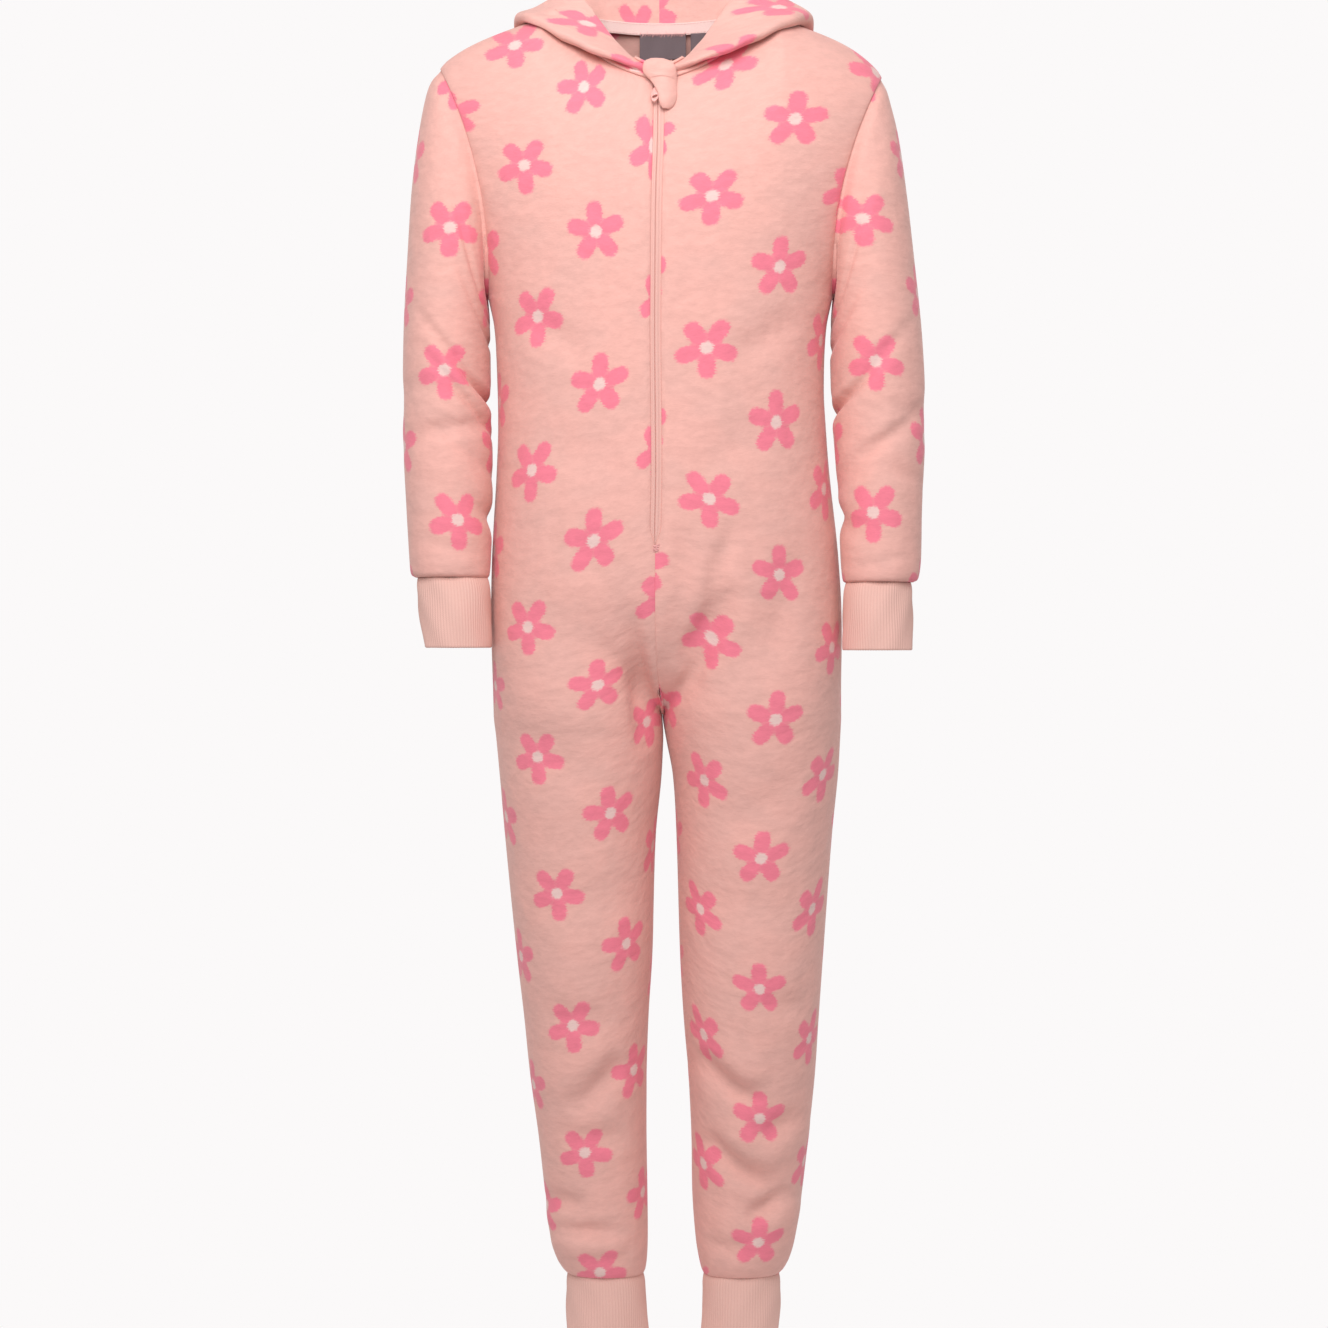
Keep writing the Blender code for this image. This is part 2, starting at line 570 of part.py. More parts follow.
def seam_shift(side, face, down, across):
    """How a panel's edge point is drawn back from the seam."""
    z = UNDERARM_Z - (down - 1) if down > 1 else 0.0
    shift = Vector((0, 0, 0))
    if across == 0 and z >= CROTCH_Z - 1e-6:
        shift.x += side * (front_slot(z) if face == FRONT else SEAM_GAP / 2)
    if across == 0 and z <= CROTCH_Z + 1e-6:
        shift.y += face * SEAM_GAP / 2
    if across == 1 and down >= 1:
        shift.y += face * SEAM_GAP / 2
    if across == 1 and down <= 1:
        inward = chest_point(side, face, math.pi * (1 - down), 0.97) - armhole(
            side, face, math.pi * (1 - down)
        )
        shift += inward.normalized() * SEAM_GAP
    if down == 0 and across < NECK_SHARE:
        shift.z -= SEAM_GAP / 2
    if down == 0 and across >= NECK_SHARE:
        shift.y += face * SEAM_GAP / 2
    return shift


def body_panel(name, side, face, finish):
    """Builds the panel and returns its outer and inner points."""
    columns = [k / BODY_COLUMNS for k in range(BODY_COLUMNS + 1)]
    outer, inner = [], []
    for down in body_stations():
        row, under = [], []
        for across in columns:
            point = body_point(side, face, down, across) + seam_shift(side, face, down, across)
            row.append(point)
            under.append(point - body_normal(side, face, down, across) * FLEECE)
        outer.append(row)
        inner.append(under)
    wall(name, outer, inner, finish)
    return outer, inner


# ---------------------------------------------------------------- sleeves and cuffs
def arm_fold_depth(side, down_length, angle):
    total = 0.0
    for fold in ARM_FOLDS:
        if fold.side != side:
            continue
        turn = (math.degrees(angle) - fold.angle + 180) % 360 - 180
        spread = math.exp(-((turn / fold.spread) ** 2))
        off = (down_length - fold.down - fold.slant * turn / 90) / fold.width
        total += fold.depth * spread * math.exp(-off * off) * (1 - 0.55 * off * off)
    return total


def sleeve(name, side, finish):
    rows = ARMS[side]
    stations = [0, 0.33, 0.7, 1.15, 1.7, 2.4, 3.1, 3.7, 4.2, 4.6, 4.95, 5.3, 5.65, 6.0, 6.35, 6.75]
    stations += [7.2, 7.7, 8.3, 9.0, 9.6, 10.0, 10.5, 11.0]
    angles = [2 * math.pi * k / ARM_DIVISIONS for k in range(ARM_DIVISIONS)]
    start_z = rows[0].outer_z
    outer = [[sleeve_point(side, s, a) for a in angles] for s in stations]
    normals = grid_normals(outer, tube=True)
    turn_out = -side
    for i, s in enumerate(stations):
        length = start_z - smooth_row(rows, list(range(len(rows))), s).outer_z
        for j, a in enumerate(angles):
            normals[i][j] = normals[i][j] * turn_out
            if 1 < s < 9:
                outer[i][j] = outer[i][j] - normals[i][j] * arm_fold_depth(side, length, a)
    normals = [[n * turn_out for n in row] for row in grid_normals(outer, tube=True)]
    for j, a in enumerate(angles):
        face = FRONT if a < math.pi else BACK
        lift = math.pi - a if face == FRONT else a - math.pi
        normals[0][j] = armhole_normal(side, face, max(lift, 0.0))
        normals[-1][j] = level(outer[-1][j] - middle_of(outer[-1]))
        outer[0][j] = outer[0][j] + (outer[1][j] - outer[0][j]).normalized() * SEAM_GAP / 2
    inner = moved(outer, normals, -FLEECE)
    return wall(name, outer, inner, finish, tube=True)


def middle_of(ring):
    return sum(ring, Vector((0, 0, 0))) / len(ring)


def level(direction):
    """The horizontal unit vector nearest a direction."""
    return Vector((direction.x, direction.y, 0)).normalized()


def cuff(name, rows, top_z, finish):
    """A ribbed band below the cloth's edge, with its fold at the bottom rounded over."""
    drops = [0.0, 0.018, 0.036]
    end = rows[-1].drop
    drops = [d for d in drops if d < end - 0.004] + [end - 0.0012, end]
    outer, inner = [], []
    for drop in drops:
        row = smooth_row(rows, [r.drop for r in rows], drop)
        rounding = 0.0007 if drop == end else 0.0
        ring = []
        for k in range(CUFF_DIVISIONS):
            angle = 2 * math.pi * k / CUFF_DIVISIONS
            x = mix(row.inner, row.outer, (1 + math.cos(angle)) / 2)
            ring.append(Vector((x, row.middle - row.depth * math.sin(angle), top_z - drop)))
        centre = middle_of(ring)
        outer.append([p - level(p - centre) * rounding for p in ring])
        inner.append([p - level(p - centre) * (RIB - rounding) for p in ring])
    return wall(name, outer, inner, finish, tube=True)


# ---------------------------------------------------------------- hood
def hood_section(side, angle, share):
    """A point of the hood: angle round the neck in degrees, share from 0 at the neck seam to 1 at the rim."""
    row = smooth_row(HOOD, [r.angle for r in HOOD], angle)
    outer = row.fold_out + row.fold_gap
    under_rise = min(0.14 * (row.crest_up - row.fold_up), 0.35 * row.fold_gap)
    outer_rise = min(row.tip * (row.rim_up - row.fold_up), row.fold_gap)
    swell = 0.70 - row.slump * HOOD_SLUMP[side]
    keys = [
        (0.0, 0.0),
        (row.crest_out * 0.45, row.crest_up * 0.75),
        (row.crest_out, row.crest_up),
        (mix(row.crest_out, row.fold_out, 0.55), mix(row.crest_up, row.fold_up, 0.42)),
        (row.fold_out, row.fold_up + under_rise),
        (row.fold_out + row.fold_gap * 0.5, row.fold_up),
        (outer, row.fold_up + outer_rise),
        (mix(outer, row.rim_out, 0.45), mix(row.fold_up, row.rim_up, swell)),
        (row.rim_out, row.rim_up),
    ]
    # the halves come to the same width where they meet at the back
    back = min(1.0, max(0.0, (angle - HOOD_JOIN) / (180.0 - HOOD_JOIN)))
    spread = mix(HOOD_SPREAD[side], 1.0, back * back * (3 - 2 * back))
    keys = [Vector((out * spread, up)) for out, up in keys]
    # near the zip the hood is a plain strip that only bulges, and the fold opens out of it
    folded = min(1.0, max(0.0, (angle - HOOD_STRIP[0]) / (HOOD_STRIP[1] - HOOD_STRIP[0])))
    bulge = mix(0.0012, 0.0060, angle / HOOD_STRIP[1])
    last = len(keys) - 1
    for k, key in enumerate(keys):
        t = k / last
        strip = Vector((row.rim_out * t * t + bulge * math.sin(math.pi * t), row.rim_up * t))
        keys[k] = strip.lerp(key, folded * folded * (3 - 2 * folded))
    place = share * last
    k = min(int(place), last - 1)

    def slope(i):
        return (keys[min(i + 1, last)] - keys[max(i - 1, 0)]) / 2

    spot = hermite(keys[k], keys[k + 1], slope(k), slope(k + 1), place - k)
    seam = neck_seam(side, angle)
    out = Vector((side * math.sin(math.radians(angle)), -math.cos(math.radians(angle)), 0))
    return seam + out * spot.x + Vector((0, 0, spot.y))


def neck_seam(side, angle):
    """The neck seam as the panels' straight edges make it, so that the hood meets them all along."""
    step = 90 / round(BODY_COLUMNS * NECK_SHARE)
    low = math.floor(angle / step) * step
    high = min(180.0, low + step)
    a, b = neck_point(side, math.radians(low)), neck_point(side, math.radians(high))
    if low == 0:
        a.x += side * ZIP_SLOT / 2
    return a if high == low else a.lerp(b, (angle - low) / (high - low))


def skin_of(grids):
    """One surface from the panels' outer points, its faces turned outwards, to rest the hood on."""
    points, faces = [], []
    for grid, turned in grids:
        start, wide = len(points), len(grid[0])
        points += [p for row in grid for p in row]
        for i in range(len(grid) - 1):
            for j in range(wide - 1):
                a = start + i * wide + j
                quad = (a, a + 1, a + 1 + wide, a + wide)
                faces.append(quad if turned > 0 else quad[::-1])
    return BVHTree.FromPolygons(points, faces)


def rest_on(skin, point, clearance):
    """The point, moved out of the skin until it's clear of it."""
    spot, normal, _, _ = skin.find_nearest(point)
    height = (point - spot).dot(normal)
    return point if height > clearance else point + normal * (clearance - height)


def settle(grid, skin, clearances):
    """Lifts a grid clear of the skin: its points, then its edges and faces. Each point has its own clearance, and
    those with none stay where they are."""
    for row, needed in zip(grid, clearances):
        row[:] = [rest_on(skin, p, c) if c else p for p, c in zip(row, needed)]
    for _ in range(4):
        for i in range(len(grid) - 1):
            for j in range(len(grid[0]) - 1):
                corners = [(i, j), (i, j + 1), (i + 1, j + 1), (i + 1, j)]
                for group in (corners, corners[:2], corners[1:3], corners[2:], corners[::2]):
                    middle = middle_of([grid[a][b] for a, b in group])
                    clearance = sum(clearances[a][b] for a, b in group) / len(group)
                    lift = rest_on(skin, middle, clearance * 0.95) - middle
                    for a, b in group:
                        if clearances[a][b]:
                            grid[a][b] = grid[a][b] + lift


def hood_half(name, side, finish, skin):
    """One half: its under layer lies on the shoulders, and its rim is folded back over that."""
    angles = [k * 9.0 for k in range(21)]
    shares = [k / 13 for k in range(14)]
    outer = [[hood_section(side, a, s) for s in shares] for a in angles]
    clearances = []
    for angle, row in zip(angles, outer):
        folded = min(1.0, max(0.0, (angle - HOOD_STRIP[0]) / (HOOD_STRIP[1] - HOOD_STRIP[0])))
        near = [min(HOOD_CLEAR, HOOD_EASE * (p - row[0]).length) for p in row]
        back = FLEECE * folded  # the layer that is folded back has its inner side down
        clearances.append([c + (back if j > FOLD_COLUMN + 1 else 0.0) for j, c in enumerate(near)])
    settle(outer, skin, clearances)
    outer[-1] = [Vector((NECK_CENTRE, p.y, p.z)) for p in outer[-1]]
    normals = [[n * side for n in row] for row in grid_normals(outer)]
    for j in range(len(shares)):
        outer[-1][j] = outer[-1][j] + Vector((side * SEAM_GAP / 2, 0, 0))
        normals[-1][j] = Vector((0, normals[-1][j].y, normals[-1][j].z)).normalized()
        normals[0][j] = Vector((0, normals[0][j].y, normals[0][j].z)).normalized()
    for row in outer:
        row[0] = row[0] + Vector((0, 0, SEAM_GAP / 2))
    inner = moved(outer, normals, -FLEECE)
    wall(name, outer, inner, finish)
    return outer, inner


# ---------------------------------------------------------------- zip, guard, neck tape and labels
def zip_spot(z):
    """The middle of the front opening at a height: a point of the outer surface, and the way out from it."""

    def front(height):
        if height >= NECK_Z[FRONT]:
            return Vector((NECK_CENTRE, -NECK_FRONT - 0.0006, height))
        if height <= UNDERARM_Z:
            return plain_point(LEFT, FRONT, height_to_down(height), 0)
        rise = (height - UNDERARM_Z) / (NECK_Z[FRONT] - UNDERARM_Z)
        return chest_point(LEFT, FRONT, math.acos(1 - 2 * rise), 0)

    low, high = front(z - 0.004), front(z + 0.004)
    slope = high - low
    point = low.lerp(high, 0.5)
    point.x = front(z).x
    return point, Vector((0, -slope.z, slope.y)).normalized()


def opening_edge(panel, hood):
    """The cloth along one side of the front opening, from the top down: edge, its inner side, and further in."""
    edges = [(hood[0][0][j], hood[1][0][j], hood[1][1][j]) for j in (12, 9, 6, 3, 1)]
    rows = [k for k in range(len(panel[0])) if panel[0][k][0].z > ZIP_FOOT_Z - 0.001]
    edges += [(panel[0][k][0], panel[1][k][0], panel[1][k][1]) for k in rows]
    closed = rows[-1] + 1
    last = zip(edges[-1], (panel[0][closed][0], panel[1][closed][0], panel[1][closed][1]))
    edges.append(tuple(a.lerp(b, 0.66) for a, b in last))
    return edges


def zip_tape(name, side, edges, finish):
    """Half of the zip: its middle edge near the surface, stepping down to lie behind the front's edge."""
    outer, inner = [], []
    clear = SEAM_GAP + 0.0001
    for edge, under, further in edges:
        out = edge - under
        out = Vector((0, out.y, out.z)).normalized()
        half = front_slot(edge.z)
        join = edge.x - side * half + ZIP_JOIN * half / (ZIP_SLOT / 2)
        stop = side * (min(side * edge.x, side * under.x) - clear)
        start = join + side * SEAM_GAP / 2
        depth = (edge - under).dot(out) + clear
        near = mix(start, stop, 0.75)
        wing = (further - under).normalized() * 0.0078

        def spot(x, sink):
            return Vector((x, edge.y, edge.z)) - out * sink

        outer.append(
            [
                spot(start, ZIP_SINK),
                spot(near, ZIP_SINK),
                spot(stop, ZIP_SINK + 0.0006),
                spot(stop, depth),
                spot(stop, depth) + wing,
            ]
        )
        inner.append(
            [
                spot(start, ZIP_SINK + TAPE),
                spot(near - side * TAPE * 0.3, ZIP_SINK + TAPE),
                spot(stop - side * TAPE * min(1.0, half / 0.003), ZIP_SINK + TAPE + 0.0006),
                spot(stop - side * TAPE * min(1.0, half / 0.003), depth + TAPE),
                spot(stop, depth + TAPE) + wing,
            ]
        )
    return wall(name, outer, inner, finish)


def pad(name, rows, thickness, rounding, finish, columns=6):
    """A soft flat piece over the zip. Each row has its height z, its two sides and how far each is lifted."""
    outer, inner = [], []
    last = len(rows) - 1
    for i, row in enumerate(rows):
        spot, out = zip_spot(row.z)
        front, back = [], []
        end = 0.45 if i in (0, last) else 1.0
        for k in range(columns + 1):
            share = k / columns
            place = Vector((mix(row.start, row.end, share), spot.y, spot.z))
            lift = mix(row.start_lift, row.end_lift, share) + row.dome * math.sin(math.pi * share)
            edge = 1 - rounding * abs(2 * share - 1) ** 6
            front.append(place + out * (lift + thickness * edge * end))
            back.append(place + out * lift)
        outer.append(front)
        inner.append(back)
    return wall(name, outer, inner, finish)


def zip_pull(name, finish):
    """A small loop lying on the slider, turned up under the guard."""
    rim, hole = [], []
    for k in range(16):
        angle = 2 * math.pi * k / 16
        rim.append((0.0032 * math.cos(angle), 0.0062 * math.sin(angle)))
        hole.append((0.0011 * math.cos(angle), 0.0026 * math.sin(angle) - 0.0014))
    layers = []
    for lift in (PULL_LIFT + PULL_THICK, PULL_LIFT):
        layer = []
        for loop in (rim, hole):
            points = []
            for across, up in loop:
                x = across * math.cos(PULL_TURN) - up * math.sin(PULL_TURN)
                z = across * math.sin(PULL_TURN) + up * math.cos(PULL_TURN)
                spot, out = zip_spot(PULL_Z + z)
                points.append(Vector((PULL_X + x, spot.y, spot.z)) + out * lift)
            layer.append(points)
        layers.append(layer)
    return wall(name, layers[0], layers[1], finish, tube=True)


def inside_of(objects):
    """The surfaces of built pieces, to lay a tape or a label against."""
    points, faces = [], []
    for found in objects:
        start = len(points)
        points += [v.co.copy() for v in found.data.vertices]
        faces += [tuple(k + start for k in f.vertices) for f in found.data.polygons]
    return BVHTree.FromPolygons(points, faces)


def strip_against(name, skin, spots, finish):
    """A thin strip hanging clear of a wall. spots holds each column's starting points, from the top down, and the
    way out to the wall."""
    outer, inner = [[] for _ in spots[0][0]], [[] for _ in spots[0][0]]
    for starts, way in spots:
        reach = 1.0
        for share in [k / 16 for k in range(17)]:
            hit, _, _, distance = skin.ray_cast(starts[0].lerp(starts[-1], share), way)
            reach = min(reach, distance) if hit else reach
        for i, start in enumerate(starts):
            outer[i].append(start + way * (reach - SEAM_GAP))
            inner[i].append(start + way * (reach - SEAM_GAP - TAPE))
    return wall(name, outer, inner, finish)


def neck_tape(name, skin, finish):
    spots = []
    for k in range(16):
        angle = math.radians(132 + 96 * k / 15)  # none on the centre seam
        side = LEFT if angle <= math.pi else RIGHT
        seam = neck_point(side, angle if side == LEFT else 2 * math.pi - angle)
        way = Vector((math.sin(angle), -math.cos(angle), 0))
        heights = (TAPE_UP, (TAPE_UP - TAPE_DOWN) / 2, -TAPE_DOWN)
        spots.append(([seam - way * 0.020 + Vector((0, 0, rise)) for rise in heights], way))
    return strip_against(name, skin, spots, finish)


def label(name, skin, x0, x1, top, bottom, finish):
    spots = []
    for k in range(5):
        x = mix(x0, x1, k / 4)
        spots.append(([Vector((x, 0.020, mix(top, bottom, i / 3))) for i in range(4)], Vector((0, 1, 0))))
    return strip_against(name, skin, spots, finish)


def clear_scene():
    for found in list(bpy.data.objects):
        bpy.data.objects.remove(found)


def main():
    clear_scene()
    fleece = material("fleece", (0.93, 0.60, 0.54), 0.95)
    rib = material("rib", (0.90, 0.62, 0.55), 0.9)
    tape = material("tape", (0.86, 0.56, 0.50), 0.8)
    grey = material("label", (0.15, 0.12, 0.13), 0.7)
    painted = material("painted_metal", (0.88, 0.62, 0.57), 0.35)
    front_right = body_panel("front_right", RIGHT, FRONT, fleece)
    front_left = body_panel("front_left", LEFT, FRONT, fleece)
    back_right = body_panel("back_right", RIGHT, BACK, fleece)
    back_left = body_panel("back_left", LEFT, BACK, fleece)
    sleeve("sleeve_right", RIGHT, fleece)
    sleeve("sleeve_left", LEFT, fleece)
    for side, word in ((RIGHT, "right"), (LEFT, "left")):
        cuff("cuff_sleeve_" + word, SLEEVE_CUFFS[side], ARMS[side][-1].outer_z - SEAM_GAP, rib)
        cuff("cuff_leg_" + word, LEG_CUFFS[side], LEG_HEM_Z - SEAM_GAP, rib)
    skin = skin_of([(front_right[0], 1), (front_left[0], -1), (back_right[0], -1), (back_left[0], 1)])
    hood_right = hood_half("hood_right", RIGHT, fleece, skin)
    hood_left = hood_half("hood_left", LEFT, fleece, skin)
    zip_tape("zip_right", RIGHT, opening_edge(front_right, hood_right), tape)
    zip_tape("zip_left", LEFT, opening_edge(front_left, hood_left), tape)
    pad("zip_slider", SLIDER, SLIDER_THICK, 0.35, painted, columns=4)
    zip_pull("zip_pull", painted)
    pad("zip_guard", GUARD, GUARD_THICK, 0.7, fleece, columns=8)
    lining = inside_of([bpy.data.objects[n] for n in ("hood_right", "hood_left", "back_right", "back_left")])
    neck_tape("neck_tape", lining, tape)
    label("label_brand", lining, *LABEL, grey)
    label("label_size", lining, *SIZE_LABEL, grey)


main()
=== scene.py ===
import math

import bmesh
import bpy
import numpy as np
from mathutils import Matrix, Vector
from mathutils.bvhtree import BVHTree


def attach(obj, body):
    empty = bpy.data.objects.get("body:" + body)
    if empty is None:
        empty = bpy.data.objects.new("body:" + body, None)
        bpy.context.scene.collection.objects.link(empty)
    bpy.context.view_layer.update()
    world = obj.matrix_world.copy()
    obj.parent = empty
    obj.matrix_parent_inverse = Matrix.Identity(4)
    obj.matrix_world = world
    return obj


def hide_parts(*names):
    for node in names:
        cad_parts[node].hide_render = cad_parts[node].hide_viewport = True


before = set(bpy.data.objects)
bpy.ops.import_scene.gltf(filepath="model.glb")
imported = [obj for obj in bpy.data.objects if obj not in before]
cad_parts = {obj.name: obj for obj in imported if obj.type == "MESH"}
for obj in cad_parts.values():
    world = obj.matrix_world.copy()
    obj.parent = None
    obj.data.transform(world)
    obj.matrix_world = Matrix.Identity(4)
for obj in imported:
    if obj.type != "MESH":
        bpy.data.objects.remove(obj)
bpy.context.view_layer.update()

# ---------------------------------------------------------------- fleece
# Plush polyester fleece, pale salmon, brushed on both sides. Its short pile lies across the garment and is
# printed in a half-drop repeat of five-petalled flowers, turned upside down in every other column.
REPEAT = (0.116, 0.125)  # from a flower to the next one of its column, across and down
FLOWER, HEART = 0.0258, 0.0052  # radius of a flower, and of the pale spot in its middle
PETAL_ROUND = 2.5  # 2 would make a petal an oval, more makes it squarer
GROUND = (0.800, 0.429, 0.374)
SHADE = (0.762, 0.421, 0.369)  # where the pile lies the other way
PETAL = (0.852, 0.205, 0.284)
PALE = (0.800, 0.575, 0.535)


def put(tree, socket, value):
    """Sets a socket to a value, or links another socket to it."""
    if isinstance(value, bpy.types.NodeSocket):
        tree.links.new(value, socket)
    else:
        socket.default_value = value


def node(tree, kind, values=None, **settings):
    """A new node with its settings, and the values of its sockets by name or number."""
    made = tree.nodes.new(kind)
    for name, value in settings.items():
        setattr(made, name, value)
    for name, value in (values or {}).items():
        put(tree, made.inputs[name], value)
    return made


def calc(tree, operation, *values):
    """One step of arithmetic."""
    made = tree.nodes.new("ShaderNodeMath")
    made.operation = operation
    for socket, value in zip(made.inputs, values):
        put(tree, socket, value)
    return made.outputs[0]


def noise(tree, place, scale, detail=3.0, rough=0.5):
    """Noise from 0 to 1 on places in metres: scale is how many grains to a metre across and down."""
    spread = node(tree, "ShaderNodeVectorMath", {0: place, 1: (*scale, 1.0)}, operation="MULTIPLY")
    values = {"Vector": spread.outputs[0], "Scale": 1.0, "Detail": detail, "Roughness": rough}
    return node(tree, "ShaderNodeTexNoise", values).outputs["Fac"]


def ramp(tree, value, low, high, to_low=0.0, to_high=1.0):
    """A soft step from to_low to to_high as the value goes from low to high."""
    made = node(
        tree,
        "ShaderNodeMapRange",
        {"Value": value, "From Min": low, "From Max": high, "To Min": to_low, "To Max": to_high},
        interpolation_type="SMOOTHSTEP",
    )
    return made.outputs["Result"]


def blend(tree, share, first, second, kind="MIX"):
    """From the first colour to the second as share goes from 0 to 1."""
    made = node(tree, "ShaderNodeMix", data_type="RGBA", blend_type=kind)
    put(tree, made.inputs[0], share)
    for socket, value in ((made.inputs[6], first), (made.inputs[7], second)):
        put(tree, socket, (*value, 1.0) if isinstance(value, tuple) else value)
    return made.outputs[2]


def waved(tree, value, pitch):
    """Rises and falls from -1 to 1, once in every pitch of the value."""
    return calc(tree, "SINE", calc(tree, "MULTIPLY", value, 2 * math.pi / pitch))


def fresh(name):
    """A new material, its nodes and its shader."""
    made = bpy.data.materials.new(name)
    made.use_nodes = True
    return made, made.node_tree, made.node_tree.nodes["Principled BSDF"]


def finish(tree, shader, values):
    """Gives the shader its values and links."""
    for name, value in values.items():
        put(tree, shader.inputs[name], value)


def relief(tree, height, depth, strength):
    """The fine relief of a surface, depth metres deep."""
    values = {"Height": height, "Distance": depth, "Strength": strength}
    return node(tree, "ShaderNodeBump", values).outputs[0]


def on_cloth(tree):
    """Where on the flat cloth, and how far across and down that is, in metres."""
    place = node(tree, "ShaderNodeAttribute", attribute_name="cloth").outputs["Vector"]
    parts = node(tree, "ShaderNodeSeparateXYZ", {0: place})
    return place, parts.outputs[0], parts.outputs[1]


def nearest_flower(tree, u, v, shift):
    """The place seen from the nearest flower of every other column, and its distance. shift is 0 or half."""
    across, down = REPEAT
    x = calc(tree, "WRAP", calc(tree, "ADD", u, across * shift), across / 2, -across / 2)
    y = calc(tree, "WRAP", calc(tree, "ADD", v, down * shift), down / 2, -down / 2)
    squares = calc(tree, "ADD", calc(tree, "POWER", x, 2.0), calc(tree, "POWER", y, 2.0))
    return x, y, calc(tree, "SQRT", squares)


def turned_over(tree, share, kept, other):
    """kept, or the other one the other way round where share is 1."""
    back = calc(tree, "SUBTRACT", calc(tree, "MULTIPLY", other, -1.0), kept)
    return calc(tree, "MULTIPLY_ADD", share, back, kept)


fleece, tree, shader = fresh("fleece")
cloth, u, v = on_cloth(tree)
# the pile blurs the print, most along the way it lies
stray_x = calc(tree, "SUBTRACT", noise(tree, cloth, (420.0, 900.0), 2.0), 0.5)
stray_y = calc(tree, "SUBTRACT", noise(tree, cloth, (330.0, 520.0), 2.0), 0.5)
u = calc(tree, "MULTIPLY_ADD", stray_x, 0.0075, u)
v = calc(tree, "MULTIPLY_ADD", stray_y, 0.0035, v)
ax, ay, far_a = nearest_flower(tree, u, v, 0.0)
bx, by, far_b = nearest_flower(tree, u, v, 0.5)
turned = calc(tree, "GREATER_THAN", far_a, far_b)
x, y = turned_over(tree, turned, ax, bx), turned_over(tree, turned, ay, by)
far = calc(tree, "MINIMUM", far_a, far_b)
# a petal is a rounded wedge, so the angle is folded into one fifth of the turn
fifth = math.pi / 5
turn = calc(tree, "WRAP", calc(tree, "ARCTAN2", x, y), fifth, -fifth)
along = calc(tree, "MULTIPLY", far, calc(tree, "COSINE", turn))
aside = calc(tree, "MULTIPLY", far, calc(tree, "ABSOLUTE", calc(tree, "SINE", turn)))
half = calc(tree, "MULTIPLY_ADD", along, 0.06, FLOWER * 0.245)
reach = calc(tree, "DIVIDE", calc(tree, "SUBTRACT", along, FLOWER * 0.56), FLOWER * 0.44)
lengthwise = calc(tree, "POWER", calc(tree, "ABSOLUTE", reach), PETAL_ROUND)
crosswise = calc(tree, "POWER", calc(tree, "DIVIDE", aside, half), PETAL_ROUND)
rim = calc(tree, "POWER", calc(tree, "ADD", lengthwise, crosswise), 1 / PETAL_ROUND)
petal = ramp(tree, rim, 0.82, 1.10, 1.0, 0.0)
core = ramp(tree, far, FLOWER * 0.44, FLOWER * 0.56, 1.0, 0.0)
petal = calc(tree, "MAXIMUM", petal, calc(tree, "MULTIPLY", core, 0.85))
heart = ramp(tree, far, HEART * 0.75, HEART * 1.25, 1.0, 0.0)
patches = noise(tree, cloth, (21.0, 26.0), 2.0)
clumps = noise(tree, cloth, (85.0, 150.0), 3.0, 0.5)
streaks = noise(tree, cloth, (260.0, 1150.0), 3.0, 0.6)
ground = blend(tree, ramp(tree, patches, 0.35, 0.65), GROUND, SHADE)
for flowers, colour in ((petal, PETAL), (heart, PALE)):
    shown = node(tree, "ShaderNodeMath", {0: flowers, 1: 0.95}, operation="MULTIPLY", label="flowers")
    ground = blend(tree, shown.outputs[0], ground, colour)
# painted light and shade on the pile: the colour is darkened where its clumps and streaks lie low and
# lightened where they stand up, following the same noise as its relief
pile_light_and_shade = calc(
    tree,
    "MULTIPLY",
    ramp(tree, clumps, 0.30, 0.70, 0.965, 1.03),
    ramp(tree, streaks, 0.25, 0.75, 0.965, 1.03),
)
painted_pile_shade = node(tree, "ShaderNodeCombineXYZ", {0: pile_light_and_shade, 1: pile_light_and_shade, 2: pile_light_and_shade}).outputs[0]
pile = calc(tree, "MULTIPLY_ADD", clumps, 0.7, calc(tree, "MULTIPLY", streaks, 0.13))
pile = calc(tree, "MULTIPLY_ADD", noise(tree, cloth, (38.0, 56.0), 2.0), 1.7, pile)
finish(
    tree,
    shader,
    {
        "Base Color": blend(tree, 1.0, ground, painted_pile_shade, "MULTIPLY"),
        "Roughness": 0.95,
        "Specular IOR Level": 0.15,
        "Sheen Weight": 0.35,
        "Sheen Roughness": 0.45,
        "Sheen Tint": (1.0, 0.80, 0.76, 1.0),
        "Normal": relief(tree, pile, 0.0017, 0.6),
    },
)
# the same cloth, cut from between the flowers
plain_fleece = fleece.copy()
plain_fleece.name = "plain_fleece"
for shown in plain_fleece.node_tree.nodes:
    if shown.label == "flowers":
        shown.inputs[1].default_value = 0.0

